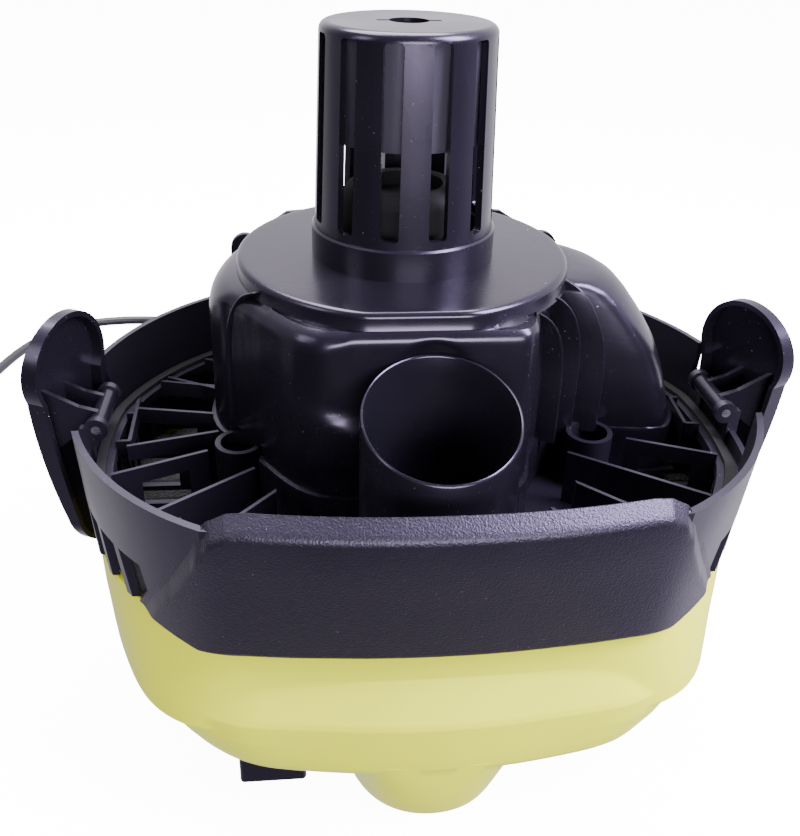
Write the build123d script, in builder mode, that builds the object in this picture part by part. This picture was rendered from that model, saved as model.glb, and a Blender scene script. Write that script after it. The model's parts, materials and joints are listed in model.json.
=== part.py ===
# Motor head of a wet and dry vacuum cleaner, standing upside down on its hose socket and handle.
# +Z points to the tank side, -Y to the front, where the hose goes in. Lengths are in millimetres.
from build123d import *
import math
import os

os.makedirs("parts", exist_ok=True)

# ---- driving dimensions -------------------------------------------------------------------
HALF_W = 144.0            # half width of the head across its sides
HALF_D = 119.5            # half depth of the head
RIM_Z = 156.0             # tank side edge of the skirt
SEAM_Z = 98.0             # where the cover meets the lower housing
SEAM_DX = -2.0            # the head narrows from the rim to the seam
SEAM_DY = -9.0
WALL = 2.5                # moulded wall
GAP = 0.3                 # clearance between curved faces that don't fit together

DECK_Z = 104.0            # upper face of the deck floor
LEDGE_Z = 127.0           # the tank's rim rests here
RIB_Z = 130.0             # upper edges of the deck ribs
PAN = 11.0                # inset of the deck's upright wall from the skirt
RIB_T = 1.6

AX, AY = -5.3, 23.6       # motor, impeller and filter cage axis
DOME_R = 86.3
DISC_R = 72.4
DISC_Z = 205.2
SHOULDER_Z = 198.0

PIPE_Y = -76.0            # suction pipe and hose socket axis, x = 0
PIPE_R = 30.0
SOCKET_R = 28.0           # bore for the hose end
SOCKET_LEN = 40.0
PIPE_MID_Z = 178.0        # middle of the slanted mouth
PIPE_CUT = 19.0           # degrees

COVER_Z = 30.0            # flat outer face of the cover, below it stand socket, switch and handle
CAGE_TOP_Z = 299.5
CAGE_BASE_R = 38.3
CAGE_TOP_R = 35.6
CAGE_SLOTS = 12

BOSS_X, BOSS_Y = 78.8, -12.5
BOSS_R = 10.5
DECK_HOLE_R = 60.0
SCREW_R = 2.0
REAR_BOSSES = [(AX - 49.5, AY + 59.0), (AX + 49.5, AY + 59.0)]

HINGE_X, HINGE_Z = 137.0, 143.0
HINGE_PIN_R = 2.0
LATCH_GAP_Y = (-43.0, 23.0)
LATCH_TURN = 25.0         # the latches face slightly to the rear
ARM_Y = (-12.0, 2.0)      # front and rear arm of each latch
EAR_Y = (-20.0, 10.0)
EAR_T = 3.5
EAR_R = 5.0

CORD_D = 7.0


# ---- shared shapes ------------------------------------------------------------------------
def plan(dx, dy, z):
    """Rounded outline of the head at height z, grown by dx at the sides and dy front and back."""
    sx = (HALF_W + dx) / HALF_W
    sy = (HALF_D + dy) / HALF_D

    def at(x, y):
        return (x * sx, y * sy)

    with BuildSketch(Plane.XY.offset(z)) as outline:
        with BuildLine():
            ThreePointArc(at(-86, -110), at(0, -119.5), at(86, -110))
            ThreePointArc(at(86, -110), at(118, -84), at(141, -43))
            ThreePointArc(at(141, -43), at(144, -10), at(142, 23))
            ThreePointArc(at(142, 23), at(126, 58), at(98, 88))
            ThreePointArc(at(98, 88), at(85, 99.5), at(70, 108))
            ThreePointArc(at(70, 108), at(0, 119.5), at(-70, 108))
            ThreePointArc(at(-70, 108), at(-85, 99.5), at(-98, 88))
            ThreePointArc(at(-98, 88), at(-126, 58), at(-142, 23))
            ThreePointArc(at(-142, 23), at(-144, -10), at(-141, -43))
            ThreePointArc(at(-141, -43), at(-118, -84), at(-86, -110))
        make_face()
    return outline.sketch.face()


def disc(x, y, z, radius):
    with BuildSketch(Plane.XY.offset(z)) as circle:
        with Locations((x, y)):
            Circle(radius)
    return circle.sketch.face()


def skirt_shift(z):
    """Growth of the outline at height z: slanted below the rim, upright above it."""
    part_way = max(RIM_Z - z, 0) / (RIM_Z - SEAM_Z)
    return SEAM_DX * part_way, SEAM_DY * part_way


def skirt_plan(z, out=0.0):
    dx, dy = skirt_shift(z)
    return plan(dx + out, dy + out, z)


def save(part, node):
    part.label = node
    export_step(part, f"parts/{node}.step")


SIDES = {"left": -1, "right": 1}


# ---- lower housing: skirt, deck, ribs, screw bosses and exhaust slots ----------------------
SLOT_Y = [-80.0 + 13.5 * i for i in range(12)]
DECK_RIBS = [
    ((-131, 84), (-75, 56)), ((-131, 57), (-85, 33)), ((-131, 48), (-88, 38)),
    ((-128.3, 19.5), (-88, 12)), ((-127, -13.5), (-88, -3)), ((-134, -37), (-92, -19)),
    ((-122, -72), (-52, -19)), ((-81, -72), (-42, -28)), ((-58, -80), (-30, -34)),
    ((94, -19), (131, -34.5)), ((52, -20), (122, -69)), ((40, -30), (88, -77)),
    ((30, -40), (58, -86)), ((100, 60), (133, 52)), ((90, 72), (122, 84)),
    ((-40, 80), (-60, 112)), ((0, 84), (0, 112)), ((40, 82), (60, 112)),
]
BOSS_RIBS = [
    ((-71, -5), (-66, 4)), ((-76, -22.5), (-53, -8)), ((-86, -5), (-83, 3)),
    ((71, -5), (66, 4)), ((89, -10), (98, -14)),
]
WINDOW_FRAMES = [
    ((-126.5, -9), (-128.5, 52)), ((-140, -9.5), (-126, -9)), ((-140, 15), (-127, 15)),
    ((-140, 29.5), (-128, 29.5)), ((-140, 51.7), (-128, 51.7)),
    ((127.5, 17), (126, -7.2)), ((127.5, 17), (140, 17)), ((126, -7.2), (140, -8.5)),
]


def plates(ends, thickness):
    """Upright plates seen from above, one from each pair of end points."""
    with BuildSketch() as group:
        for (x1, y1), (x2, y2) in ends:
            with Locations(((x1 + x2) / 2, (y1 + y2) / 2)):
                turn = math.degrees(math.atan2(y2 - y1, x2 - x1))
                Rectangle(math.hypot(x2 - x1, y2 - y1), thickness, rotation=turn)
    return group.sketch


with BuildPart() as lower_housing:
    loft(sections=[skirt_plan(SEAM_Z + GAP), skirt_plan(RIM_Z)], ruled=True)
    loft(sections=[skirt_plan(SEAM_Z, -WALL), skirt_plan(RIM_Z + 1, -WALL)], ruled=True, mode=Mode.SUBTRACT)
    # the deck pan: floor, upright wall and the ledge that carries the tank's rim
    loft(sections=[skirt_plan(DECK_Z - WALL, -PAN + 2), skirt_plan(LEDGE_Z, -PAN + 2)], ruled=True)
    with BuildSketch(Plane.XY.offset(LEDGE_Z - 2.5)):
        add(skirt_plan(LEDGE_Z - 2.5, -WALL + 0.5).moved(Location((0, 0, -(LEDGE_Z - 2.5)))))
    extrude(amount=2.5)
    loft(sections=[skirt_plan(DECK_Z, -PAN), skirt_plan(LEDGE_Z + 1, -PAN)], ruled=True, mode=Mode.SUBTRACT)
    # ribs between the dome and the pan wall
    with BuildSketch(Plane.XY.offset(DECK_Z)):
        add(plates(DECK_RIBS + BOSS_RIBS + WINDOW_FRAMES, RIB_T))
        add(plan(-PAN - 0.5, -PAN - 5, 0), mode=Mode.INTERSECT)
        with Locations((AX, AY)):
            Circle(DOME_R + 1.0, mode=Mode.SUBTRACT)
        with Locations((84.5, 20)):
            Circle(38.5, mode=Mode.SUBTRACT)
        with Locations((0, -52)):
            Rectangle(124, 34, mode=Mode.SUBTRACT)
        with Locations((0, PIPE_Y)):
            Circle(PIPE_R + 2.0, mode=Mode.SUBTRACT)
    extrude(amount=RIB_Z - DECK_Z)
    # room for the suction pipe
    with BuildSketch(Plane.XY.offset(DECK_Z - WALL - 1)):
        with Locations((0, PIPE_Y)):
            Circle(PIPE_R + GAP)
    extrude(amount=40, mode=Mode.SUBTRACT)
    # screw bosses
    with BuildSketch(Plane.XY.offset(DECK_Z - 1)):
        with Locations((-BOSS_X, BOSS_Y), (BOSS_X, BOSS_Y)):
            Circle(BOSS_R)
    extrude(amount=RIB_Z - DECK_Z + 1)
    with BuildSketch(Plane.XY.offset(DECK_Z)):
        with Locations((-BOSS_X, BOSS_Y), (BOSS_X, BOSS_Y)):
            Circle(BOSS_R - 2.4)
    extrude(amount=RIB_Z - DECK_Z + 1, mode=Mode.SUBTRACT)
    # openings in the deck floor: motor, pipe and screws
    with BuildSketch(Plane.XY.offset(DECK_Z + 1)):
        with Locations((AX, AY)):
            Circle(DECK_HOLE_R)
        with Locations((-BOSS_X, BOSS_Y), (BOSS_X, BOSS_Y)):
            Circle(SCREW_R + 0.3)
        with Locations(*REAR_BOSSES):
            Circle(SCREW_R + 0.3)
    extrude(amount=-WALL - 2, mode=Mode.SUBTRACT)
    # the sides are open above the sill where the latches swing
    with BuildSketch(Plane.XY.offset(134)):
        gap_mid = (LATCH_GAP_Y[0] + LATCH_GAP_Y[1]) / 2
        with Locations((-HALF_W, gap_mid), (HALF_W, gap_mid)):
            Rectangle(24, LATCH_GAP_Y[1] - LATCH_GAP_Y[0])
    extrude(amount=40, mode=Mode.SUBTRACT)
    # exhaust slots below the ledge
    for side in SIDES.values():
        with BuildSketch(Plane.YZ.offset(side * 100)):
            with Locations(*[(y, SEAM_Z + 11) for y in SLOT_Y]):
                Rectangle(10.5, 27)
        extrude(amount=side * 60, mode=Mode.SUBTRACT)
    # ears that hold the latch hinge pins
    for side in SIDES.values():
        for y in EAR_Y:
            with BuildSketch(Plane.XZ.offset(-y - EAR_T / 2)):
                with Locations((side * (HINGE_X + 4.2), LEDGE_Z + 8)):
                    Rectangle(5, 18)
                with Locations((side * HINGE_X, HINGE_Z)):
                    Circle(EAR_R)
                with Locations((side * HINGE_X, HINGE_Z)):
                    Circle(HINGE_PIN_R, mode=Mode.SUBTRACT)
            extrude(amount=EAR_T)
save(lower_housing.part, "lower_housing")


# ---- top cover: slanted side, ledge, lower tier and hose socket ----------------------------
LIP = (-2.6, -10.6)               # outline growth at the seam
WAIST_Z, WAIST = 50.0, (-9.5, -10.8)
TIER_Z, TIER_TOP = 59.0, (-17.0, -4.5)
TIER_BOTTOM = (-23.0, -6.0)
TIER_FOOT = (-29.2, -7.5)         # the tier's slope carried down to the socket's mouth
BUMP_BASE_R, BUMP_MOUTH_R = 44.0, 33.0
HANDLE_Y = 51.0
POCKET = (104.0, 42.0)            # finger pocket above the handle
POCKET_TOP = 44.0
SWITCH_X, SWITCH_Y = -66.7, -74.0
SWITCH_W, SWITCH_L = 28.0, 42.0
GLAND_X, GLAND_Z = -45.0, 66.0
POST_R = 5.5
HANDLE_SCREWS = [(-58.3, HANDLE_Y), (58.3, HANDLE_Y)]
ALL_BOSSES = [(-BOSS_X, BOSS_Y), (BOSS_X, BOSS_Y)] + REAR_BOSSES


def cover_plan(z, grow, inset=0.0):
    return plan(grow[0] - inset, grow[1] - inset, z)


def hose_bump(base_z, mouth_z, base_r, mouth_r, inset):
    """Cone of the hose socket, its front flush with the cover's lower tier."""
    with BuildPart() as cone:
        with BuildSketch(Plane.XY.offset(base_z)):
            with Locations((0, PIPE_Y)):
                Circle(base_r)
        with BuildSketch(Plane.XY.offset(mouth_z)):
            with Locations((0, PIPE_Y)):
                Circle(mouth_r)
        loft()
        shape = [cover_plan(TIER_Z, TIER_TOP, inset), cover_plan(mouth_z, TIER_FOOT, inset)]
        loft(sections=shape, ruled=True, mode=Mode.INTERSECT)
    return cone.part


with BuildPart() as top_cover:
    loft(sections=[cover_plan(SEAM_Z, LIP), cover_plan(WAIST_Z, WAIST)], ruled=True)
    loft(sections=[cover_plan(TIER_Z, TIER_TOP), cover_plan(COVER_Z, TIER_BOTTOM)], ruled=True)
    add(hose_bump(COVER_Z + 1, 0, BUMP_BASE_R, BUMP_MOUTH_R, 0))
    loft(
        sections=[cover_plan(SEAM_Z + 1, LIP, WALL), cover_plan(WAIST_Z + WALL, WAIST, WALL)],
        ruled=True,
        mode=Mode.SUBTRACT,
    )
    loft(
        sections=[cover_plan(TIER_Z - WALL, TIER_TOP, WALL), cover_plan(COVER_Z + WALL, TIER_BOTTOM, WALL)],
        ruled=True,
        mode=Mode.SUBTRACT,
    )
    # walls of the finger pocket above the handle
    with BuildSketch(Plane.XY.offset(COVER_Z)):
        with Locations((0, HANDLE_Y)):
            Rectangle(POCKET[0] + 2 * WALL, POCKET[1] + 2 * WALL)
    extrude(amount=POCKET_TOP - COVER_Z + WALL)
    with BuildSketch(Plane.XY.offset(COVER_Z - 1)):
        with Locations((0, HANDLE_Y)):
            Rectangle(*POCKET)
    extrude(amount=POCKET_TOP - COVER_Z + 1, mode=Mode.SUBTRACT)
    # screw posts
    with BuildSketch(Plane.XY.offset(COVER_Z + 1)):
        with Locations(*ALL_BOSSES):
            Circle(POST_R)
    extrude(amount=DECK_Z - WALL - COVER_Z - 1)
    with BuildSketch(Plane.XY.offset(DECK_Z - WALL)):
        with Locations(*ALL_BOSSES):
            Circle(SCREW_R + 0.05)
    extrude(amount=-22, mode=Mode.SUBTRACT)
    # hollow hose socket
    add(hose_bump(COVER_Z + 5, 3, BUMP_BASE_R - WALL, PIPE_R + 0.2, WALL), mode=Mode.SUBTRACT)
    with BuildSketch(Plane.XY.offset(-1)):
        with Locations((0, PIPE_Y)):
            Circle(PIPE_R + 0.2)
    extrude(amount=6, mode=Mode.SUBTRACT)
    with BuildSketch(Plane.XY.offset(COVER_Z - 1)):
        with Locations(*HANDLE_SCREWS):
            Circle(SCREW_R + 0.05)
    extrude(amount=WALL + 2, mode=Mode.SUBTRACT)
    # openings for the switch and the cord gland
    with BuildSketch(Plane.XY.offset(COVER_Z - 1)):
        with Locations((SWITCH_X, SWITCH_Y)):
            Rectangle(SWITCH_W - 3, SWITCH_L - 3)
    extrude(amount=WALL + 2, mode=Mode.SUBTRACT)
    with BuildSketch(Plane.XZ.offset(-80)):
        with Locations((GLAND_X, GLAND_Z)):
            Circle(6)
    extrude(amount=-40, mode=Mode.SUBTRACT)
save(top_cover.part, "top_cover")


# ---- suction pipe: hose socket bore below, slanted mouth above -----------------------------
with BuildPart() as suction_pipe:
    with BuildSketch():
        with Locations((0, PIPE_Y)):
            Circle(PIPE_R)
    extrude(amount=PIPE_MID_Z + 30)
    with BuildSketch():
        with Locations((0, PIPE_Y)):
            Circle(SOCKET_R)
    extrude(amount=SOCKET_LEN, mode=Mode.SUBTRACT)
    with BuildSketch(Plane.XY.offset(SOCKET_LEN)):
        with Locations((0, PIPE_Y)):
            Circle(SOCKET_R - 0.8)
    extrude(amount=PIPE_MID_Z, mode=Mode.SUBTRACT)
    tilt = math.radians(PIPE_CUT)
    mouth = Plane((0, PIPE_Y, PIPE_MID_Z), x_dir=(1, 0, 0), z_dir=(0, -math.sin(tilt), math.cos(tilt)))
    split(bisect_by=mouth, keep=Keep.BOTTOM)
save(suction_pipe.part, "suction_pipe")


# ---- motor dome ----------------------------------------------------------------------------
BULGE = [      # height, centre x, centre y, radius
    (DECK_Z, 84.5, 20.0, 36.5),
    (150.0, 80.0, 21.0, 36.5),
    (172.0, 72.0, 24.0, 36.0),
    (188.0, 58.0, 27.0, 32.0),
]
DOME_FRONT_Y = -45.5
DOME_BACK_Y = 92.0
BOSS_RELIEF_R = 12.5
INTAKE_R = 20.0


def dome_solid(inset):
    """Outside of the dome when inset is 0, its hollow when inset is the wall."""
    with BuildPart() as solid:
        with BuildSketch(Plane.XY.offset(DECK_Z)):
            with Locations((AX, AY)):
                Circle(DOME_R - inset)
        extrude(amount=SHOULDER_Z - inset - DECK_Z)
        fillet(solid.edges().group_by(Axis.Z)[-1], 16)
        with BuildSketch(Plane.XY.offset(DECK_Z)):
            with Locations((AX, DOME_FRONT_Y + inset - 30), (AX, DOME_BACK_Y - inset + 30)):
                Rectangle(180, 60)
        extrude(amount=120, mode=Mode.SUBTRACT)
        loft(sections=[disc(x, y, z, r - inset) for z, x, y, r in BULGE])
        with BuildSketch(Plane.XY.offset(DECK_Z)):
            with Locations((-BOSS_X, BOSS_Y), (BOSS_X, BOSS_Y)):
                Circle(BOSS_RELIEF_R + inset)
        extrude(amount=SHOULDER_Z - 6 - DECK_Z, mode=Mode.SUBTRACT)
    return solid.part


dome_hollow = dome_solid(WALL)
with BuildPart() as motor_dome:
    add(dome_solid(0))
    with BuildSketch(Plane.XY.offset(SHOULDER_Z - 7)):
        with Locations((AX, AY)):
            Circle(DISC_R)
    extrude(amount=DISC_Z - SHOULDER_Z + 7)
    fillet(motor_dome.edges().group_by(Axis.Z)[-1], 2.0)
    add(dome_hollow, mode=Mode.SUBTRACT)
    with BuildSketch(Plane.XY.offset(SHOULDER_Z - 20)):
        with Locations((AX, AY)):
            Circle(DISC_R - 4)
    extrude(amount=DISC_Z - SHOULDER_Z + 20 - WALL, mode=Mode.SUBTRACT)
    with BuildSketch(Plane.XY.offset(SHOULDER_Z - 20)):
        with Locations((AX, AY)):
            Circle(INTAKE_R)
    extrude(amount=60, mode=Mode.SUBTRACT)
save(motor_dome.part, "motor_dome")


# ---- front and rear panels over the skirt --------------------------------------------------
PANEL_OUT = 3.4
PANEL_TOP = 164.0
REAR_TOP = 193.0


def panel_band(low, high, out, inner):
    """Ring that follows the slanted skirt from low to high, between two distances from it."""
    with BuildPart() as band:
        levels = [low, RIM_Z, high] if low < RIM_Z < high else [low, high]
        loft(sections=[skirt_plan(z, out) for z in levels], ruled=True)
        loft(sections=[skirt_plan(z, inner) for z in levels], ruled=True, mode=Mode.SUBTRACT)
    return band.part


with BuildPart() as front_panel:
    add(panel_band(90, PANEL_TOP, PANEL_OUT, 0.4))
    add(panel_band(RIM_Z + GAP, PANEL_TOP, PANEL_OUT, -2.0))
    with BuildSketch(Plane.XZ.offset(60)):
        with BuildLine():
            Polyline((0, PANEL_TOP + 1), (70, PANEL_TOP + 1), (78, 161.5), (88, 153), (100, 128), (109, 112))
            Polyline((109, 112), (116, 99), (91, 92.5))
            Spline((91, 92.5), (72, 95.5), (0, 96.5), tangents=[(-1, 0.3), (-1, 0)])
            mirror(about=Plane.YZ)
        make_face()
    extrude(amount=80, mode=Mode.INTERSECT)
save(front_panel.part, "front_panel")

with BuildPart() as rear_panel:
    add(panel_band(101, REAR_TOP, PANEL_OUT, 0.4))
    with BuildSketch(Plane.XZ.offset(-60)):
        with BuildLine():
            Polyline(
                (0, REAR_TOP - 0.2), (57, REAR_TOP - 0.2), (70, 185), (72, 160), (84, 152), (84, 104), (0, 104)
            )
            mirror(about=Plane.YZ)
        make_face()
        with Locations((-80, 166), (80, 166)):
            SlotOverall(36, 12, rotation=90)
    extrude(amount=-80, mode=Mode.INTERSECT)
save(rear_panel.part, "rear_panel")


# ---- rim seal ------------------------------------------------------------------------------
with BuildPart() as rim_seal:
    loft(sections=[skirt_plan(LEDGE_Z, -4.2), skirt_plan(LEDGE_Z + 2, -4.2)], ruled=True)
    loft(sections=[skirt_plan(LEDGE_Z, -8.2), skirt_plan(LEDGE_Z + 2, -8.2)], ruled=True, mode=Mode.SUBTRACT)
save(rim_seal.part, "rim_seal")


# ---- filter cage, its collar, liner and float ----------------------------------------------
COLLAR_TOP = 218.0
SLOT_LOW, SLOT_HIGH = 221.2, 296.0
SLOT_W = 7.8
LINER_Z = 255.3
LINER_R = 32.4
CAGE_WALL = 3.4
FLOAT_R = 26.5
FLOAT_H = 30.0

with BuildPart() as cage_collar:
    with BuildSketch(Plane.XY.offset(DISC_Z)):
        with Locations((AX, AY)):
            Circle(39.6)
            Circle(33.5, mode=Mode.SUBTRACT)
    extrude(amount=COLLAR_TOP - DISC_Z)
    chamfer(cage_collar.edges().group_by(Axis.Z)[-1], 0.8)
save(cage_collar.part, "cage_collar")

with BuildPart() as filter_cage:
    loft(sections=[disc(AX, AY, COLLAR_TOP, CAGE_BASE_R), disc(AX, AY, CAGE_TOP_Z, CAGE_TOP_R)])
    fillet(filter_cage.edges().group_by(Axis.Z)[-1], 3.6)
    loft(
        sections=[
            disc(AX, AY, COLLAR_TOP, CAGE_BASE_R - CAGE_WALL),
            disc(AX, AY, CAGE_TOP_Z - 3, CAGE_TOP_R - CAGE_WALL + 0.4),
        ],
        mode=Mode.SUBTRACT,
    )
    slot_mid = (SLOT_LOW + SLOT_HIGH) / 2
    for i in range(CAGE_SLOTS // 2):
        angle = math.radians(15.4 + i * 360 / CAGE_SLOTS)
        across = Plane((AX, AY, slot_mid), x_dir=(-math.sin(angle), math.cos(angle), 0),
                       z_dir=(math.cos(angle), math.sin(angle), 0))
        with BuildSketch(across):
            RectangleRounded(SLOT_W, SLOT_HIGH - SLOT_LOW, 1.8)
        extrude(amount=60, both=True, mode=Mode.SUBTRACT)
    with BuildSketch(Plane.XY.offset(CAGE_TOP_Z - 5)):
        with Locations((AX, AY)):
            Circle(8)
            Rectangle(25.6, 2.7)
    extrude(amount=10, mode=Mode.SUBTRACT)
save(filter_cage.part, "filter_cage")

with BuildPart() as cage_sleeve:
    with BuildSketch(Plane.XY.offset(LINER_Z)):
        with Locations((AX, AY)):
            Circle(LINER_R)
            Circle(LINER_R - 1.8, mode=Mode.SUBTRACT)
    extrude(amount=CAGE_TOP_Z - 3 - LINER_Z)
save(cage_sleeve.part, "cage_sleeve")

with BuildPart() as float_valve:
    with BuildSketch(Plane.XY.offset(DISC_Z)):
        with Locations((AX, AY)):
            Circle(FLOAT_R)
    extrude(amount=FLOAT_H)
    fillet(float_valve.edges().group_by(Axis.Z)[-1], 6)
    with BuildSketch(Plane.XY.offset(DISC_Z + FLOAT_H - 6)):
        with Locations((AX, AY)):
            Circle(FLOAT_R - 10)
    extrude(amount=10, mode=Mode.SUBTRACT)
save(float_valve.part, "float_valve")


# ---- latches and their pins ----------------------------------------------------------------
LATCH_R = 21.0                    # half width of the paddle
LATCH_MID = (153.5, 1.5)
LATCH_LOW, LATCH_HIGH = 76.0, 187.0
LATCH_SKIN = 3.0
BARREL_Y = (EAR_Y[0] + EAR_T / 2 + GAP, EAR_Y[1] - EAR_T / 2 - GAP)
BARREL_R = 4.0
FLANGE_DEPTH = 5.5                # the paddle's rim stands towards the housing
SKIRT_CLEAR_X = 143.9


def bowed(up, skin=0.0, flange=0.0):
    """Three points of the paddle's side profile, below its outer face by the skin and the rim's depth."""
    bottom = (-9.0 - skin - 0.1 * flange, up * LATCH_LOW)
    middle = (2.4 - skin - flange, up * 141)
    top = (-2.0 - skin - 0.4 * flange, up * LATCH_HIGH)
    return bottom, middle, top


def paddle_outline(plane, inset):
    """Tongue with a round top and a narrower round lower end."""
    tall = plane.y_dir.Z
    half, low_half = LATCH_R - inset, LATCH_R - 5 - inset
    low, high = LATCH_LOW + inset, LATCH_HIGH - inset
    with BuildSketch(plane) as outline:
        with BuildLine():
            top_arc = ThreePointArc((-half, tall * 154), (0, tall * high), (half, tall * 154))
            Line(top_arc @ 1, (low_half, tall * 92))
            low_arc = ThreePointArc((low_half, tall * 92), (0, tall * low), (-low_half, tall * 92))
            Line(low_arc @ 1, top_arc @ 0)
        make_face()
    return outline.sketch.face()


def latch(side):
    """Bowed oval paddle with two arms that end in a hinge barrel."""
    turn = math.radians(LATCH_TURN)
    outward = (side * math.cos(turn), math.sin(turn), 0)
    backward = (-side * math.sin(turn), math.cos(turn), 0)
    along = Vector(*outward).cross(Vector(0, 0, 1))
    front_on = Plane((side * LATCH_MID[0], LATCH_MID[1], 0), x_dir=outward, z_dir=along)
    face_on = Plane((side * LATCH_MID[0], LATCH_MID[1], 0), x_dir=backward, z_dir=outward)
    up = front_on.y_dir.Z
    # the hollow behind the rim
    with BuildPart() as hollow:
        with BuildSketch(front_on):
            with BuildLine():
                skin = ThreePointArc(*bowed(up, LATCH_SKIN))
                Polyline(skin @ 0, (-60, up * LATCH_LOW), (-60, up * LATCH_HIGH), skin @ 1)
            make_face()
        extrude(amount=40, both=True)
        extrude(paddle_outline(face_on, 2.4), amount=60, both=True, mode=Mode.INTERSECT)
    with BuildPart() as paddle:
        with BuildSketch(front_on):
            with BuildLine():
                outer = ThreePointArc(*bowed(up))
                inner = ThreePointArc(*bowed(up, LATCH_SKIN, FLANGE_DEPTH))
                Line(outer @ 0, inner @ 0)
                Line(outer @ 1, inner @ 1)
            make_face()
        extrude(amount=40, both=True)
        extrude(paddle_outline(face_on, 0.0), amount=30, both=True, mode=Mode.INTERSECT)
        add(hollow.part, mode=Mode.SUBTRACT)
        # the rim stays clear of the skirt
        with BuildSketch(Plane.XY.offset(70)):
            with Locations((side * (SKIRT_CLEAR_X - 20), 0)):
                Rectangle(40, 80)
        extrude(amount=66, mode=Mode.SUBTRACT)
    with BuildPart() as arms:
        for y in ARM_Y:
            with BuildSketch(Plane.XZ.offset(-y - 1.2)):
                with BuildLine():
                    Polyline(
                        (side * (HINGE_X - 1.0), HINGE_Z + 3.6),
                        (side * (HINGE_X + 8.0), HINGE_Z + 6.5),
                        (side * (HINGE_X + 34.0), HINGE_Z + 22.0),
                        (side * (HINGE_X + 34.0), HINGE_Z - 14.0),
                        (side * (HINGE_X + 18.0), HINGE_Z - 13.0),
                        (side * (HINGE_X + 9.0), HINGE_Z - 6.0),
                        (side * (HINGE_X + 3.0), HINGE_Z - 3.4),
                        close=True,
                    )
                make_face()
            extrude(amount=2.4)
        with BuildSketch(Plane.XZ.offset(-BARREL_Y[1])):
            with Locations((side * HINGE_X, HINGE_Z)):
                Circle(BARREL_R)
        extrude(amount=BARREL_Y[1] - BARREL_Y[0])
        # trim the arms to the paddle's skin
        with BuildSketch(front_on):
            with BuildLine():
                edge = ThreePointArc(*bowed(up, LATCH_SKIN / 2))
                Polyline(edge @ 0, (-60, up * LATCH_LOW), (-60, up * LATCH_HIGH), edge @ 1)
            make_face()
        extrude(amount=60, both=True, mode=Mode.INTERSECT)
        with BuildSketch(Plane.XZ.offset(60)):
            with Locations((side * HINGE_X, HINGE_Z)):
                Circle(HINGE_PIN_R + 0.06)
        extrude(amount=-120, mode=Mode.SUBTRACT)
    with BuildPart() as whole:
        add(paddle.part)
        add(arms.part)
    return whole.part


for name, side in SIDES.items():
    with BuildPart() as latch_part:
        add(latch(side))
    save(latch_part.part, f"latch_{name}")
    with BuildPart() as hinge_pin:
        with BuildSketch(Plane.XZ.offset(-EAR_Y[1] - EAR_T / 2)):
            with Locations((side * HINGE_X, HINGE_Z)):
                Circle(HINGE_PIN_R)
        extrude(amount=EAR_Y[1] - EAR_Y[0] + EAR_T)
    save(hinge_pin.part, f"hinge_pin_{name}")


# ---- rocker switch -------------------------------------------------------------------------
FRAME_LOW = 11.0
ROCKER_W, ROCKER_L = 22.5, 30.0
ROCKER_TILT = 8.0                 # off position
PIVOT_Z = 14.0
PIVOT_R = 1.5
PIVOT_SPAN = 27.0

with BuildPart() as switch_frame:
    with BuildSketch(Plane.XY.offset(FRAME_LOW)):
        with Locations((SWITCH_X, SWITCH_Y)):
            RectangleRounded(SWITCH_W, SWITCH_L, 2)
    extrude(amount=COVER_Z - FRAME_LOW)
    with BuildSketch(Plane.XY.offset(COVER_Z)):
        with Locations((SWITCH_X, SWITCH_Y)):
            Rectangle(SWITCH_W - 3.4, SWITCH_L - 3.4)
    extrude(amount=8)
    with BuildSketch(Plane.XY.offset(FRAME_LOW - 1)):
        with Locations((SWITCH_X, SWITCH_Y)):
            Rectangle(ROCKER_W + 1, ROCKER_L + 2)
    extrude(amount=14, mode=Mode.SUBTRACT)
    with BuildSketch(Plane.XY.offset(FRAME_LOW + 10)):
        with Locations((SWITCH_X, SWITCH_Y)):
            Rectangle(20, 30)
    extrude(amount=20, mode=Mode.SUBTRACT)
    with BuildSketch(Plane.YZ.offset(SWITCH_X - SWITCH_W / 2)):
        with Locations((SWITCH_Y, PIVOT_Z)):
            Circle(PIVOT_R + 0.06)
    extrude(amount=SWITCH_W, mode=Mode.SUBTRACT)
save(switch_frame.part, "switch_frame")

rocker_lean = Plane((SWITCH_X, SWITCH_Y, PIVOT_Z), x_dir=(1, 0, 0),
                    z_dir=(0, math.sin(math.radians(ROCKER_TILT)), math.cos(math.radians(ROCKER_TILT))))
with BuildPart() as switch_rocker:
    with BuildSketch(rocker_lean.offset(-11)):
        RectangleRounded(ROCKER_W, ROCKER_L - 3, 1.5)
    extrude(amount=14)
    fillet(switch_rocker.faces().sort_by(Axis.Z)[0].edges(), 0.8)
    with BuildSketch(Plane.YZ.offset(SWITCH_X - PIVOT_SPAN / 2)):
        with Locations((SWITCH_Y, PIVOT_Z)):
            Circle(PIVOT_R)
    extrude(amount=PIVOT_SPAN)
save(switch_rocker.part, "switch_rocker")

with BuildPart() as switch_body:
    with BuildSketch(Plane.XY.offset(FRAME_LOW + 13)):
        with Locations((SWITCH_X, SWITCH_Y)):
            Rectangle(19, 29)
    extrude(amount=24)
    with BuildSketch(Plane.XY.offset(FRAME_LOW + 37)):
        with Locations((SWITCH_X, SWITCH_Y)):
            with GridLocations(9, 16, 2, 2):
                Rectangle(0.8, 6.3)
    extrude(amount=8)
save(switch_body.part, "switch_body")


# ---- carrying handle -----------------------------------------------------------------------
HANDLE_DEPTH = 24.0
HANDLE_BAR = 12.0

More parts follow.
